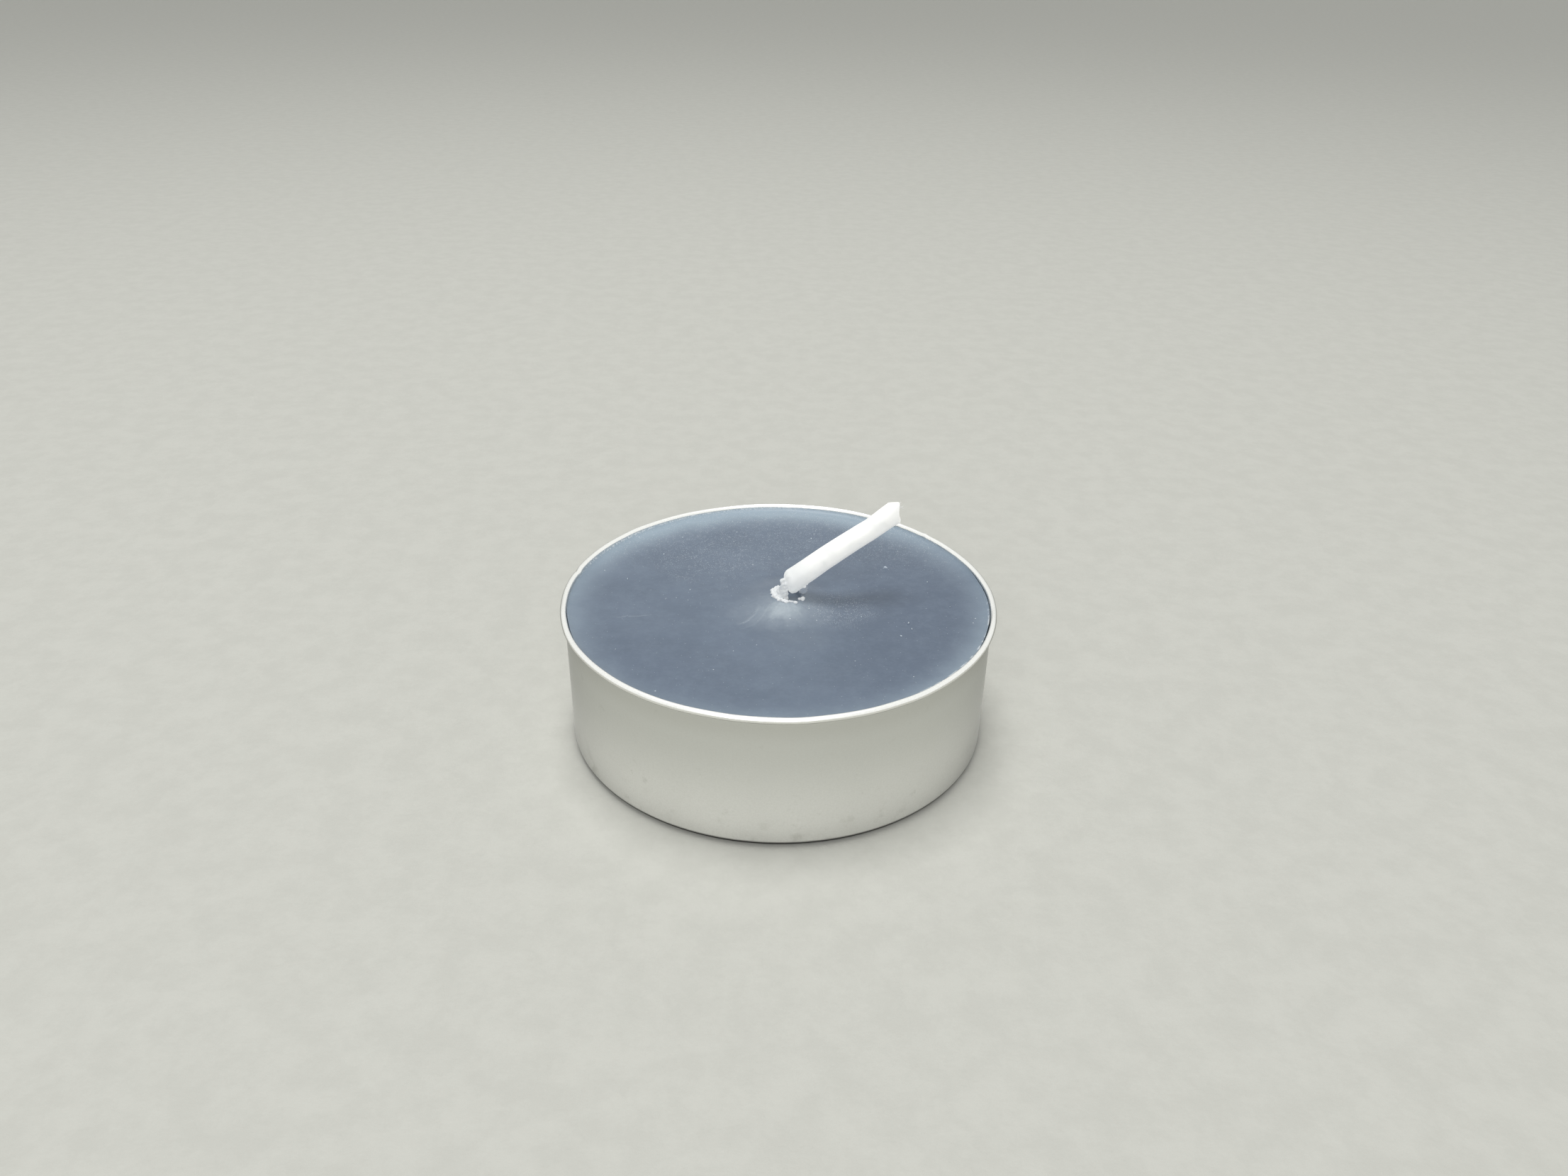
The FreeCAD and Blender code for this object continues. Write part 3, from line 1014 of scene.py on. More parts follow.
@dataclass
class WaxFill:
    """The poured wax: its body in the cup, the sunken top, the mound, the hole and the edge.

    Attributes:
        cup: The cup that it fills.
        level: Height of its top at the edge, in millimetres, as are all the lengths.
        dish: How far the top sinks in the middle.
        dish_radius: Radius of the sunken part.
        climb: How far it climbs the wall at the front.
        climb_width: How wide that climb is.
        mound_height: Height of the mound round the wick.
        mound_top: Radius at which the mound starts to fall.
        mound_foot: Radius at which the mound ends.
        wick_at: Middle of the mound.
        mouth_at: Middle of the hole that the broken coat left.
        mouth_radius: Radius of the hole.
        pit_radius: Radius of the hole's floor.
        pit_depth: Depth of the hole.
        gap: The least gap between the wax and the wall.
        shrunk: Where it has shrunk from the wall: the gap, its azimuth and its width in degrees.
        fold_at: Middle of the arcs that the two folds follow.
        folds: Each fold's height, its azimuth and spread in degrees, its radius and its width.
        segments: Vertices round the wax.
        finish: The wax's looks.
    """

    cup: FoilCup
    level: float = 11.98
    dish: float = 0.25
    dish_radius: float = 9.0
    climb: float = 0.20
    climb_width: float = 0.30
    mound_height: float = 0.5
    mound_top: float = 1.7
    mound_foot: float = 4.6
    wick_at: tuple[float, float] = (0.339, 0.212)
    mouth_at: tuple[float, float] = (0.806, 0.503)
    mouth_radius: float = 1.25
    pit_radius: float = 1.0
    pit_depth: float = 0.38
    gap: float = 0.002
    shrunk: tuple[tuple[float, float, float], ...] = ((0.04, -163, 8), (0.04, -57, 6), (0.12, -20, 11))
    fold_at: tuple[float, float] = (-5.6, -0.6)
    folds: tuple[tuple[float, ...], ...] = ((0.055, -32, 17, 3.92, 0.16), (0.03, -40, 13, 4.72, 0.18))
    segments: int = 448
    finish: PouredWax = field(default_factory=PouredWax)

    def gap_at(self, around: float) -> float:
        """How far the wax has shrunk from the wall.

        Args:
            around: The azimuth, in degrees.

        Returns:
            The gap, in millimetres.
        """
        gap = self.gap
        for depth, middle, width in self.shrunk:
            gap += depth * bump_at(angle_between(around, middle), 0, width)
        turn = math.radians(around)
        return gap + 0.012 * grain(math.cos(turn) * 9, math.sin(turn) * 9, 1.5)

    def edge_climb(self, around: float) -> float:
        """How far the wax climbs the wall.

        Args:
            around: The azimuth, in degrees.

        Returns:
            The climb, in millimetres.
        """
        turn = math.radians(around)
        x, y = math.cos(turn), math.sin(turn)
        back = smooth(y, -0.2, 0.6)
        coarse = grain(x * 11, y * 11, 5.0)
        fine = grain(x * 60, y * 60, 8.0) + 0.6 * grain(x * 130, y * 130, 2.0)
        return self.climb * (1 + 0.8 * back + 0.3 * coarse + (0.12 + 0.3 * back) * fine)

    def surface(self, place: Vector) -> float:
        """Height of the wax's top.

        Args:
            place: Where it is measured, in millimetres.

        Returns:
            The height, in millimetres.
        """
        out = math.hypot(place.x, place.y)
        top = self.level - self.dish
        height = top + self.dish * smooth(out, self.dish_radius - 1.5, 18.6)
        height += 0.02 * grain(place.x * 0.28, place.y * 0.28, 2.0)

        from_wick = math.hypot(place.x - self.wick_at[0], place.y - self.wick_at[1])
        height += self.mound_height * (1 - smooth(from_wick, self.mound_top - 0.4, self.mound_foot + 0.2))
        height += self.creases(place)

        from_mouth = math.hypot(place.x - self.mouth_at[0], place.y - self.mouth_at[1])
        ragged = self.mouth_radius + 0.06 * grain(place.x * 2.6, place.y * 2.6, 4.0)
        height += 0.06 * bump_at(from_mouth, ragged + 0.22, 0.2)
        height -= self.pit_depth * (1 - smooth(from_mouth, self.pit_radius - 0.05, ragged))
        return height

    def creases(self, place: Vector) -> float:
        """Two curved folds that run from the mound towards the left front.

        Args:
            place: Where they are measured, in millimetres.

        Returns:
            How far they stand up there, in millimetres.
        """
        centre = Vector(self.fold_at)
        out = math.hypot(place.x - centre.x, place.y - centre.y)
        around = math.degrees(math.atan2(place.y - centre.y, place.x - centre.x))
        return sum(
            height * bump_at(angle_between(around, middle), 0, spread) * bump_at(out, radius, width)
            for height, middle, spread, radius, width in self.folds)

    def body_rings(self) -> list[Ring]:
        """Lays out the hidden part, which keeps clear of the cup.

        Returns:
            Its rings, from the floor's middle up to the edge.
        """
        cup, clear = self.cup, 0.01
        low, panel = cup.well_height + cup.sheet / 2 + clear, cup.panel_height + cup.sheet / 2 + clear
        ring_inner = cup.wall_middle - cup.corner - cup.ring_width
        wall = cup.wall_middle - cup.sheet / 2 - clear
        floor = cup.sheet + clear
        points = [(0.5, low), (cup.well_radius - 0.12, low), (cup.well_radius + 0.3, panel)]
        points += [(ring_inner - 0.5, panel), (ring_inner + 0.12, floor)]
        bend = cup.corner - cup.sheet / 2
        points += arc((wall - bend, floor + bend), bend, -90, 90, 4)
        points += [(wall, 4.5), (wall, cup.flare_start)]
        points += [(cup.inside(height) - clear, height) for height in (10.5, 11.4)]
        return [Ring(radius, height) for radius, height in points]

    def top_rings(self) -> list[Ring]:
        """Lays out the top, finer at the edge and round the hole.

        Returns:
            Its rings, from the edge in to the middle of the hole.
        """
        # Fine steps at the wall, wider ones further in, and fine ones again round the hole.
        edge = self.cup.inside(self.level)
        steps = [0.0, 0.02, 0.05, 0.09, 0.14, 0.2, 0.27, 0.35, 0.45, 0.6, 0.8, 1.05, 1.4]
        radii = [edge - step for step in steps]
        while radii[-1] > 2.1:
            radii.append(radii[-1] - max(0.06, 0.05 * (radii[-1] - 1.0)))
        while radii[-1] > 0.85:
            radii.append(radii[-1] - 0.05)
        radii += [0.7, 0.5, 0.3, 0.12]

        # The middle of the rings moves from the cup's axis to the hole's.
        rings = []
        for radius in radii:
            pull = 1 - smooth(radius, 1.6, 8.0)
            rings.append(Ring(radius, self.level, (self.mouth_at[0] * pull, self.mouth_at[1] * pull)))
        return rings

    def settled(self, place: Vector) -> Vector:
        """A point of the top with the wax's real level there.

        Args:
            place: The point of the flat top, or of the body below it, in millimetres.

        Returns:
            The point moved, in millimetres.
        """
        out = math.hypot(place.x, place.y)
        around = math.degrees(math.atan2(place.y, place.x))
        edge = self.cup.inside(self.level)
        if place.z < self.level - 0.01:
            share = smooth(place.z, 9.5, 11.2)
            pulled = out - self.gap_at(around) * share
            return Vector((place.x * pulled / out, place.y * pulled / out, place.z)) if share > 0 else place
        if out < 1e-6:
            return Vector((place.x, place.y, self.surface(place)))
        gap = self.gap_at(around) * smooth(out, edge - 2.0, edge)
        pulled = out - gap
        flat = Vector((place.x * pulled / out, place.y * pulled / out, 0))
        rise = self.edge_climb(around) * math.exp(-(edge - out) / self.climb_width)
        return Vector((flat.x, flat.y, self.surface(flat) + rise))

    def build(self) -> bpy.types.Object:
        """Makes and dresses the wax.

        Returns:
            The wax.
        """
        wax = Bench.loft("wax_fill", self.body_rings() + self.top_rings(), self.segments, shut=True)
        Bench.sculpt(wax, self.settled)
        Bench.soften(wax, 60)
        wax.data.materials.append(self.finish.material())
        return wax


@dataclass
class BentWick:
    """The wick above the wax: the leaning coated length, and the bare braid at its bend.

    Attributes:
        at: Where the wick leaves the clip, in millimetres, as are all the lengths.
        break_height: Where the coat broke off.
        rise: How far the bare wick stands up before it bends.
        bend_radius: Radius of the bend.
        elevation: How far the coated length stands up from the level, in degrees.
        azimuth: Which way it leans, in degrees.
        foot_radius: The coat's radius at its broken foot.
        tip_radius: The coat's radius where the pinch starts.
        foot_round: Radius of the foot's rounded edge.
        foot_slant: How far the foot is broken at a slant.
        shaft: Where the pinch starts, from the foot.
        reach: Where the cut is, from the foot.
        overrun: What the cut takes off.
        pinch_across: Half the pinched tip's width.
        pinch_up: Half the pinched tip's height.
        pinch_shift: How far the pinch rises above the coat's axis.
        nip: How far below the tip's top the upper cut is.
        nip_way: Which way the upper cut faces.
        cut_turn: Azimuth that the end's cut faces, in degrees.
        corner_at: A point of the small cut between the two.
        corner_way: Which way the small cut faces.
        braid_radius: Radius of the bare braid.
        braid_inset: How far the braid lies inside the bend.
        strands: How many strands it has.
        strand_radius: Radius of a strand.
        core_radius: Radius of the yarn inside the strands.
        fibre_radius: Radius of a fibre at the tip.
        fibres: Where each fibre at the tip starts, and which way it goes.
        flake_at: Middle of the flake that hangs from the foot.
        flake_size: Its half sizes.
        bulge: Depth of the bulge at the cut's lower edge, its height and its half height.
        segments: Vertices round the coat.
        torn: Shreds of coat at the foot: their place and size.
        coat: The coat's looks.
        thin: The hanging flake's looks.
        yarn: The bare braid's looks.
    """

    at: tuple[float, float] = (0.339, 0.212)
    break_height: float = 11.68
    rise: float = 0.96
    bend_radius: float = 1.0
    elevation: float = 33.3
    azimuth: float = 12.0
    foot_radius: float = 1.05
    tip_radius: float = 0.93
    foot_round: float = 0.62
    foot_slant: float = 0.26
    shaft: float = 8.8
    reach: float = 11.68
    overrun: float = 1.3
    pinch_across: float = 0.8
    pinch_up: float = 1.12
    pinch_shift: float = 0.16
    nip: float = 0.87
    nip_way: tuple[float, float, float] = (0.0, 0.34, 1.0)
    cut_turn: float = -6.0
    corner_at: tuple[float, float, float] = (10.16, 1.87, 20.68)
    corner_way: tuple[float, float, float] = (1.0, 0.2, 1.0)
    braid_radius: float = 0.30
    braid_inset: float = 0.12
    strands: int = 8
    strand_radius: float = 0.09
    core_radius: float = 0.24
    fibre_radius: float = 0.012
    fibres: tuple[tuple[tuple[float, float, float], tuple[float, float, float]], ...] = (
        ((10.20, 2.6, 20.45), (0.20, 0.0, 0.10)), ((10.24, 2.4, 20.25), (0.30, -0.05, -0.10)),
        ((10.28, 2.3, 20.05), (0.26, 0.05, 0.20)), ((10.25, 2.2, 20.40), (0.13, 0.0, -0.12)))
    flake_at: tuple[float, float, float] = (2.16, 0.05, 13.06)
    flake_size: tuple[float, float, float] = (0.42, 0.045, 0.40)
    bulge: tuple[float, float, float] = (0.19, 18.78, 0.3)
    segments: int = 96
    torn: tuple[tuple[float, float, float, float], ...] = (
        (1.45, 0.0, 12.98, 0.20), (1.70, 0.0, 13.14, 0.15), (1.92, 0.0, 13.34, 0.15), (2.2, 0.0, 13.44, 0.17),
        (2.42, 0.02, 13.68, 0.13))
    coat: WhiteWax = WhiteWax(
        "white_wick_coat", light=(217, 217, 214), shade=(193, 195, 195), cell=0.7, depth=0.03,
        sheen=0.42, glow=0.5, painted_glow=0.55, greyer=(0.8, 4.2))
    thin: WhiteWax = WhiteWax(
        "thin_coat_flake", light=(168, 175, 185), shade=(148, 156, 167), cell=1.5, depth=0.02,
        sheen=0.4, glow=0.3, painted_glow=0.0)
    yarn: CottonBraid = field(default_factory=CottonBraid)

    def lean_way(self) -> Vector:
        """Level direction of the lean."""
        turn = math.radians(self.azimuth)
        return Vector((math.cos(turn), math.sin(turn), 0))

    def bend_centre(self) -> Vector:
        """Middle of the bend's arc, in millimetres."""
        base = Vector((self.at[0], self.at[1], self.break_height + self.rise))
        return base + self.lean_way() * self.bend_radius

    def on_bend(self, degrees: float, radius: float) -> Vector:
        """A point of the bend.

        Args:
            degrees: Its angle from the bend's start.
            radius: Its distance from the bend's middle, in millimetres.

        Returns:
            The point, in millimetres.
        """
        turn = math.radians(degrees)
        level = self.lean_way() * (-radius * math.cos(turn))
        return self.bend_centre() + level + Vector((0, 0, radius * math.sin(turn)))

    def lean(self) -> Matrix:
        """Works out the turn of the leaning length.

        Returns:
            What puts an upright form at the bend's end and leans it, in millimetres.
        """
        tilt = math.radians(90 - self.elevation)
        foot = self.on_bend(90 - self.elevation, self.bend_radius)
        turned = Matrix.Rotation(math.radians(self.azimuth), 4, "Z") @ Matrix.Rotation(tilt, 4, "Y")
        return Matrix.Translation(foot) @ turned

    def coat_point(self, place: Vector) -> Vector:
        """A point of the coat's skin with its pinch, its slight bow and its lumps.

        Args:
            place: The point of a plain upright round coat, in millimetres.

        Returns:
            The point moved, in millimetres.
        """
        share = max(0.0, (place.z - self.shaft) / (self.reach + self.overrun - self.shaft))
        tall = 1 + (self.pinch_up / self.tip_radius - 1) * share
        thin = 1 + (self.pinch_across / self.tip_radius - 1) * share
        bow = 0.10 * math.sin(math.pi * min(1.0, place.z / self.shaft))
        broken = 1 - smooth(place.z, 0.1, 1.0)
        slant = self.foot_slant * (place.x / self.foot_radius + 0.6) * (1 - smooth(place.z, 0.2, 2.4))
        turn = math.atan2(place.y, place.x)
        x, y = math.cos(turn), math.sin(turn)
        swell = 1 + 0.018 * grain(x * 1.1, y * 1.1, place.z * 0.55)
        swell += 0.012 * grain(x * 2.2, y * 2.2, place.z * 1.6)
        swell += 0.09 * broken * grain(x * 2.6, y * 2.6, 6.0)
        down = broken * (0.16 * grain(x * 2.3, y * 2.3, 11.0) + 0.14 * grain(x * 5.0, y * 5.0, 13.0))
        return Vector((
            place.x * tall * swell - self.pinch_shift * share - bow,
            place.y * thin * swell,
            place.z + down - slant))

    def make_coat(self) -> bpy.types.Object:
        """Makes the leaning coated length, with its pinched and cut tip.

        Returns:
            The coat, without a finish.
        """
        end = self.reach + self.overrun
        bend = arc((self.foot_radius - self.foot_round, self.foot_round), self.foot_round, -90, 90, 9)
        rings = [Ring(0.25, 0.02)] + [Ring(radius, height) for radius, height in bend]
        steps = 56
        for step in range(1, steps + 1):
            height = self.foot_round + (end - self.foot_round) * step / steps
            share = min(1.0, height / self.shaft)
            rings.append(Ring(self.foot_radius + (self.tip_radius - self.foot_radius) * share, height))
        rings.append(Ring(self.tip_radius * 0.5, end))
        coat = Bench.loft("wick_coat", rings, self.segments, shut=True)
        Bench.sculpt(coat, self.coat_point)
        lean = self.lean()
        Bench.sculpt(coat, lambda place: lean @ place)
        tip = lean @ Vector((0, 0, self.reach))
        top = (self.pinch_up + self.pinch_shift) / math.cos(math.radians(self.elevation))
        cut = math.radians(self.cut_turn)
        self.trim(coat, tip, Vector((math.cos(cut), math.sin(cut), 0)))
        self.trim(coat, Vector((tip.x, tip.y, tip.z + top - self.nip)), Vector(self.nip_way))
        self.trim(coat, Vector(self.corner_at), Vector(self.corner_way))
        shreds = [
            Bench.lump(Vector((x, y, z)), Vector((size, size, size)), seed=number + 80.4, rough=0.3)
            for number, (x, y, z, size) in enumerate(self.torn)]
        coat = Bench.joined("wick_coat", [coat] + shreds)
        Bench.fuse(coat, cell=0.045, smoothing=4)
        Bench.sculpt(coat, self.squashed_edge)
        return coat

    def squashed_edge(self, place: Vector) -> Vector:
        """The coat's skin with the small bulge at the lower edge of its cut.

        Args:
            place: The point of the plain skin, in millimetres.

        Returns:
            The point moved, in millimetres.
        """
        depth, height, spread = self.bulge
        push = depth * bump_at(place.z, height, spread) * smooth(place.x, 10.1, 10.38)
        return place + Vector((push, 0, 0))

    @staticmethod
    def trim(piece: bpy.types.Object, at: Vector, way: Vector) -> None:
        """Cuts off what lies past a plane, and fills the cut.

        Args:
            piece: The object that is cut.
            at: A point of the plane, in millimetres.
            way: The side that goes.
        """
        Bench.take(piece)
        bpy.ops.object.mode_set(mode="EDIT")
        bpy.ops.mesh.select_all(action="SELECT")
        bpy.ops.mesh.bisect(
            plane_co=at * MM, plane_no=way.normalized(), use_fill=True, clear_outer=True, threshold=1e-7)
        bpy.ops.object.mode_set(mode="OBJECT")

    def strand_path(self, number: int) -> list[Vector]:
        """The way of one strand up the bare braid and round its bend.

        Args:
            number: Counts the strands: even ones wind one way and odd ones the other.

        Returns:
            Its points, in millimetres.
        """
        in_wax, in_coat = 0.45, 0.35
        straight = self.rise + in_wax
        bend = math.radians(90 - self.elevation) * self.bend_radius + in_coat
        inner = self.bend_radius - self.braid_inset
        steps = 30
        hand = 1 if number % 2 else -1
        points = []
        for step in range(steps + 1):
            along = (straight + bend) * step / steps
            phase = hand * along * 1.9 + number * math.tau / self.strands
            over = 1 + 0.13 * math.sin(4 * phase + math.pi * (number % 2))
            across = self.braid_radius * over * 0.82
            if along < straight:
                middle = self.on_bend(0, inner) + Vector((0, 0, along - straight))
                outwards = -self.lean_way()
            else:
                middle = self.on_bend(math.degrees((along - straight) / inner), inner)
                outwards = (middle - self.bend_centre()).normalized()
            sideways = Vector((0, 0, 1)).cross(self.lean_way())
            points.append(middle + (outwards * math.cos(phase) + sideways * math.sin(phase)) * across)
        return points

    def tube(self, points: Sequence[Vector], thickness: float) -> bpy.types.Object:
        """A round yarn along a smooth way.

        Args:
            points: Its way, in millimetres.
            thickness: Its radius, in millimetres.

        Returns:
            The yarn as a mesh.
        """
        Bench.clear()
        bpy.ops.curve.primitive_nurbs_path_add(location=(0, 0, 0))
        yarn = bpy.context.object
        spline = yarn.data.splines[0]
        spline.points.add(len(points) - len(spline.points))
        for point, place in zip(spline.points, points):
            point.co = (*(place * MM), 1.0)
            point.radius = 1.0
        spline.order_u = 3
        spline.use_endpoint_u = True
        yarn.data.bevel_depth = thickness * MM
        yarn.data.bevel_resolution = 2
        yarn.data.resolution_u = 3
        yarn.data.use_fill_caps = True
        bpy.ops.object.convert(target="MESH")
        return bpy.context.object

    def make_braid(self) -> bpy.types.Object:
        """Makes the bare braid: strands that wind over and under each other.

        Returns:
            The braid, without a finish.
        """
        tubes = [self.tube(self.strand_path(number), self.strand_radius) for number in range(self.strands)]
        inner = self.bend_radius - self.braid_inset
        core = [self.on_bend(0, inner) + Vector((0, 0, -0.35 * step)) for step in (4, 3, 2, 1)]
        core += [self.on_bend(degrees, inner) for degrees in (0, 20, 40, 60)]
        tubes.append(self.tube(core, self.core_radius))
        braid = Bench.joined("wick_braid", tubes)
        Bench.soften(braid, 70)
        return braid

    def make_fibres(self) -> bpy.types.Object:
        """Makes the few fibres that stand out of the cut tip.

        Returns:
            The fibres as one piece, without a finish.
        """
        sag = Vector((0, 0, -0.08))
        shares = [part / 5 for part in range(6)]
        tubes = []
        for base, way in self.fibres:
            points = [
                Vector(base) + Vector(way) * (share * 1.9 - 0.5) + sag * share * share for share in shares]
            tubes.append(self.tube(points, self.fibre_radius))
        fibres = Bench.joined("wick_tip_fibres", tubes)
        Bench.soften(fibres, 70)
        return fibres

    def make_flake(self) -> bpy.types.Object:
        """Makes the thin flake of coat that hangs from the broken foot."""
        return Bench.lump(Vector(self.flake_at), Vector(self.flake_size), seed=0.0, rough=0.55)

    def build(self) -> list[bpy.types.Object]:
        """Makes and dresses the wick's pieces.

        Returns:
            The coat, the braid, the fibres at its tip and the hanging flake.
        """
        coat, braid = self.make_coat(), self.make_braid()
        fibres, flake = self.make_fibres(), self.make_flake()
        flake.name = "wick_coat_flake"
        Bench.soften(flake, 60)
        white, yarn = self.coat.material(), self.yarn.material()
        coat.data.materials.append(white)
        flake.data.materials.append(self.thin.material())
        for piece in (braid, fibres):
            piece.data.materials.clear()
            piece.data.materials.append(yarn)
        return [coat, braid, fibres, flake]


@dataclass
class CoatCrumbs:
    """White lumps of broken coat round the hole and up the bend, and flakes on the wax.

    Attributes:
        wax: The wax that they lie on.
        string: The string of lumps round the hole: x, y and size, in millimetres.
        bead: The bead that lies on its own, likewise.
        column: The lumps up the bend: x, y, z and size, in millimetres.
        spots: The flakes on the wax: x, y and size, in millimetres.
        chips: The flakes' looks.
        finish: The lumps' looks.
    """

    wax: WaxFill
    string: tuple[tuple[float, float, float], ...] = (
        (1.49, -0.92, 0.15), (1.24, -0.78, 0.10), (0.96, -0.73, 0.12), (0.71, -0.84, 0.15),
        (0.42, -0.72, 0.18), (0.27, -0.48, 0.16), (0.02, -0.49, 0.19), (-0.16, -0.16, 0.15),
        (-0.34, 0.02, 0.21), (-0.45, 0.30, 0.16), (-0.55, 0.65, 0.20), (-0.50, 1.05, 0.24),
        (-0.28, 1.40, 0.22), (-0.02, 1.62, 0.20), (0.26, 1.80, 0.15))
    bead: tuple[tuple[float, float, float], ...] = (
        (2.11, -0.27, 0.20), (1.93, -0.20, 0.11), (1.80, -0.24, 0.13))
    column: tuple[tuple[float, float, float, float], ...] = (
        (-0.08, 0.50, 12.32, 0.32), (0.20, 0.10, 12.28, 0.32), (0.00, 1.05, 12.34, 0.34),
        (-0.31, 0.72, 12.32, 0.24), (-0.18, 0.22, 12.30, 0.20), (0.36, 0.60, 12.40, 0.38),
        (0.60, 0.00, 12.15, 0.26), (0.22, 0.30, 12.72, 0.38), (0.02, 0.55, 12.66, 0.24),
        (0.56, 0.02, 12.62, 0.27), (0.34, 0.10, 13.02, 0.34), (0.60, 0.00, 13.02, 0.27),
        (0.42, 0.02, 13.36, 0.31), (0.66, 0.00, 13.34, 0.22), (0.36, 0.02, 13.66, 0.25),
        (0.56, -0.04, 13.70, 0.22), (0.24, 0.02, 13.92, 0.17), (0.40, 0.02, 14.00, 0.18))
    spots: tuple[tuple[float, float, float], ...] = (
        (9.86, 6.72, 0.20), (11.2, -3.3, 0.13), (11.4, -4.3, 0.14), (10.4, -5.4, 0.10),
        (-11.0, 8.5, 0.09), (-4.5, 11.5, 0.08), (3.0, 12.5, 0.09), (-8.0, 2.0, 0.07),
        (13.5, 4.0, 0.08), (-13.8, 3.5, 0.09), (6.5, 9.5, 0.08), (-2.5, 7.0, 0.07),
        (-9.5, 12.0, 0.08), (7.2, -2.2, 0.08), (15.1, -0.5, 0.07))
    chips: WhiteWax = WhiteWax(
        "loose_wax_chips", light=(196, 206, 216), shade=(170, 182, 195), cell=3.0, depth=0.02,
        sheen=0.35, glow=0.2, painted_glow=0.0)
    finish: WhiteWax = WhiteWax(
        "broken_coat_wax", light=(201, 203, 204), shade=(178, 184, 189), cell=2.0, depth=0.03,
        sheen=0.4, glow=0.5, painted_glow=0.3)

    def on_wax(self, x: float, y: float, above: float) -> Vector:
        """A place at a height above the wax beside the hole."""
        rim = self.wax.level - self.wax.dish + self.wax.mound_height
        return Vector((x, y, max(self.wax.surface(Vector((x, y, 0))), rim) + above))

    def ring(self) -> list[bpy.types.Object]:
        """Makes the ring round the mouth: a string of lumps with grains between, and a bead on its own.

        Returns:
            The lumps, which are melted together later.
        """
        lumps = []
        for number, (x, y, size) in enumerate(self.string + self.bead):
            at, sizes = self.on_wax(x, y, size * 0.35), Vector((size * 1.15, size, size))
            lumps.append(Bench.lump(at, sizes, seed=number + 0.3, rough=0.42))
        for number, (before, after) in enumerate(zip(self.string, self.string[1:])):
            side = 0.04 * math.sin(number * 2.7)
            at = self.on_wax((before[0] + after[0]) / 2 + side, (before[1] + after[1]) / 2 - side, 0.04)
            lumps.append(Bench.lump(at, Vector((0.11, 0.12, 0.10)), seed=number + 40.7, rough=0.3))
            size = 0.07 + 0.02 * math.sin(number * 3.1)
            x = before[0] - 0.13 + 0.10 * math.sin(number * 5.3)
            y = before[1] - 0.04 + 0.16 * math.sin(number * 1.9)
            at = self.on_wax(x, y, size * 0.5)
            lumps.append(Bench.lump(at, Vector((size, size, size)), seed=number + 60.7, rough=0.4))
        return lumps

    def heap(self) -> list[bpy.types.Object]:
        """Makes the lumps that cover the bare braid up to the coat's foot.

        Returns:
            The lumps, which are melted together later.
        """
        return [
            Bench.lump(Vector((x, y, z)), Vector((size, size, size * 1.1)), seed=number + 20.2, rough=0.4)
            for number, (x, y, z, size) in enumerate(self.column)]

    def flakes(self) -> list[bpy.types.Object]:
        """Makes the flakes and grains that lie on the wax.

        Returns:
            The flakes.
        """
        lumps = []
        for number, (x, y, size) in enumerate(self.spots):
            at = Vector((x, y, 0))
            at.z = self.wax.surface(at) + size * 0.12
            sizes = Vector((size, size * 0.75, size * 0.35))
            lumps.append(Bench.lump(at, sizes, seed=number + 60.1, rough=0.5))
        return lumps

    def build(self) -> list[bpy.types.Object]:
        """Makes and dresses the crumbs and the flakes.

        Returns:
            The crumbs and the flakes, as one piece each.
        """
        crumbs = Bench.joined("coat_crumb_ring", self.ring() + self.heap())
        Bench.fuse(crumbs, cell=0.034, smoothing=7)
        flakes = Bench.joined("wax_flakes", self.flakes())
        for piece, finish in ((crumbs, self.finish), (flakes, self.chips)):
            Bench.soften(piece, 60)
            piece.data.materials.append(finish.material())
        return [crumbs, flakes]


@dataclass(frozen=True)
class Lamp:
    """A square soft lamp that points at the candle.

    Attributes:
        at: Where it hangs, in millimetres.
        size: Its side, in millimetres.
        watts: Its power.
    """

    at: tuple[float, float, float]
    size: float
    watts: float


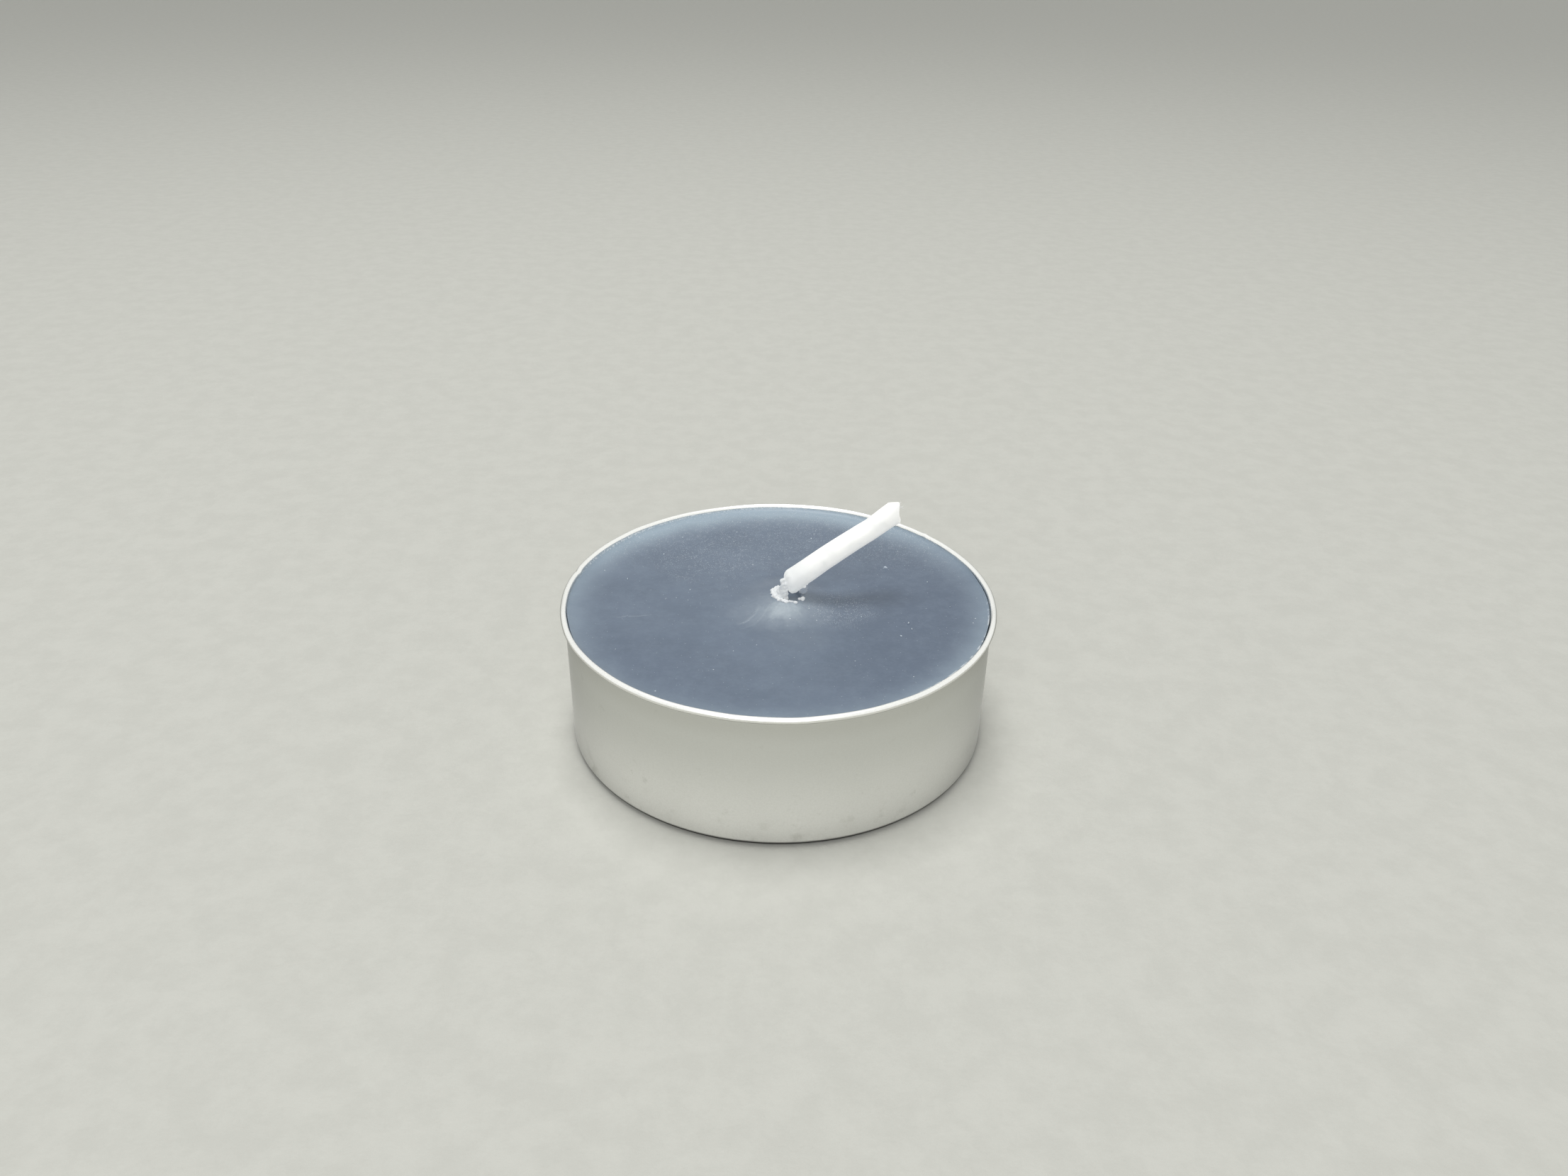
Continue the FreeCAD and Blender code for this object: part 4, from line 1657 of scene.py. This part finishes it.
@dataclass
class Studio:
    """Table, lamps, surroundings and camera.

    Attributes:
        eye: Where the camera stands, in millimetres.
        pitch: How far it looks down, in degrees.
        roll: How far it is turned about its view, in degrees.
        focal_pixels: Its focal length, in pixels of the photograph.
        image_width: The photograph's width, in pixels.
        sensor: The camera's sensor width, in millimetres.
        seen: The nearest and farthest distance that it sees, in metres.
        table_size: The table's side, in millimetres.
        overhead: The lamp above and behind the candle.
        fill: The lamp in front of it.
        ambient: Strength of the even light from all round.
        sky: Colour of that light.
        finish: The table's looks.
    """

    eye: tuple[float, float, float] = (0.44, -90.322, 63.493)
    pitch: float = 29.10
    roll: float = 1.11
    focal_pixels: float = 1661.0
    image_width: float = 2212.0
    sensor: float = 36.0
    seen: tuple[float, float] = (0.005, 50.0)
    table_size: float = 8000.0
    overhead: Lamp = Lamp(at=(-45.0, 75.0, 600.0), size=220.0, watts=1.6)
    fill: Lamp = Lamp(at=(-60.0, -500.0, 380.0), size=420.0, watts=1.35)
    ambient: float = 0.52
    sky: tuple[int, int, int] = (253, 254, 252)
    finish: TableTop = field(default_factory=TableTop)

    def make_table(self) -> None:
        """Makes the table top that the candle stands on."""
        Bench.clear()
        bpy.ops.mesh.primitive_plane_add(size=self.table_size * MM, location=(0, 0, 0))
        table = bpy.context.object
        table.name = "table_top"
        table.data.materials.append(self.finish.material())

    def make_camera(self) -> None:
        """Makes the camera at the photograph's place and angle."""
        pitch, roll = math.radians(self.pitch), math.radians(self.roll)
        right = Vector((1, 0, 0))
        up = Vector((0, math.sin(pitch), math.cos(pitch)))
        back = Vector((0, -math.cos(pitch), math.sin(pitch)))
        turned_right = right * math.cos(roll) + up * math.sin(roll)
        turned_up = up * math.cos(roll) - right * math.sin(roll)
        bpy.ops.object.camera_add(location=Vector(self.eye) * MM)
        camera = bpy.context.object
        camera.rotation_euler = Matrix((turned_right, turned_up, back)).transposed().to_euler()
        camera.data.sensor_width = self.sensor
        camera.data.lens = self.focal_pixels / self.image_width * self.sensor
        camera.data.clip_start, camera.data.clip_end = self.seen
        bpy.context.scene.camera = camera

    def make_lights(self) -> None:
        """Makes the two soft lamps and an even pale surrounding."""
        for lamp in (self.overhead, self.fill):
            bpy.ops.object.light_add(type="AREA", location=Vector(lamp.at) * MM)
            made = bpy.context.object
            made.data.size = lamp.size * MM
            made.data.energy = lamp.watts
            made.rotation_euler = (-Vector(lamp.at)).to_track_quat("-Z", "Y").to_euler()
        world = bpy.data.worlds.new("soft_room")
        bpy.context.scene.world = world
        world.use_nodes = True
        board = NodeBoard(world.node_tree)
        seen = board.node("ShaderNodeLightPath", {}, {}, "Is Camera Ray")
        mirrored = board.node("ShaderNodeLightPath", {}, {}, "Is Glossy Ray")
        strength = seen.most(mirrored) * (1 - self.ambient) + self.ambient
        room = world.node_tree.nodes["Background"]
        room.inputs["Color"].default_value = paint(*self.sky)
        world.node_tree.links.new(strength.socket, room.inputs["Strength"])

    def build(self) -> None:
        """Sets up everything that isn't part of the candle."""
        self.make_table()
        self.make_camera()
        self.make_lights()
        bpy.context.scene.view_settings.view_transform = "Standard"


@dataclass
class Candle:
    """The whole tea light, with each piece tied to the frame.

    Attributes:
        cup: The foil cup.
        wick: The bent wick.
        clip: Looks of the steel clip, whose CAD node is kept.
    """

    cup: FoilCup = field(default_factory=FoilCup)
    wick: BentWick = field(default_factory=BentWick)
    clip: ClipSteel = field(default_factory=ClipSteel)

    def settle(self, piece: bpy.types.Object, node: str) -> None:
        """Ties a piece to the frame.

        Args:
            piece: The finished piece.
            node: The CAD node that it stands for.
        """
        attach(piece, BODY)
        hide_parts(node)
        log.info("%s: %d faces, for %s", piece.name, len(piece.data.polygons), node)

    def build(self) -> None:
        """Builds the candle's pieces in order."""
        wax = WaxFill(self.cup)
        self.settle(self.cup.build(), "cup")
        self.settle(wax.build(), "wax")
        for piece in self.wick.build():
            self.settle(piece, "wick")
        for piece in CoatCrumbs(wax).build():
            self.settle(piece, "coat_crumbs")
        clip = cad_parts["wick_clip"]
        clip.data.materials.clear()
        clip.data.materials.append(self.clip.material())


def main() -> None:
    """Builds the studio and the candle."""
    logging.basicConfig(level=logging.INFO, format="%(name)s: %(message)s")
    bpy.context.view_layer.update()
    Studio().build()
    Candle().build()
    bpy.context.view_layer.update()


if __name__ == "__main__":
    main()
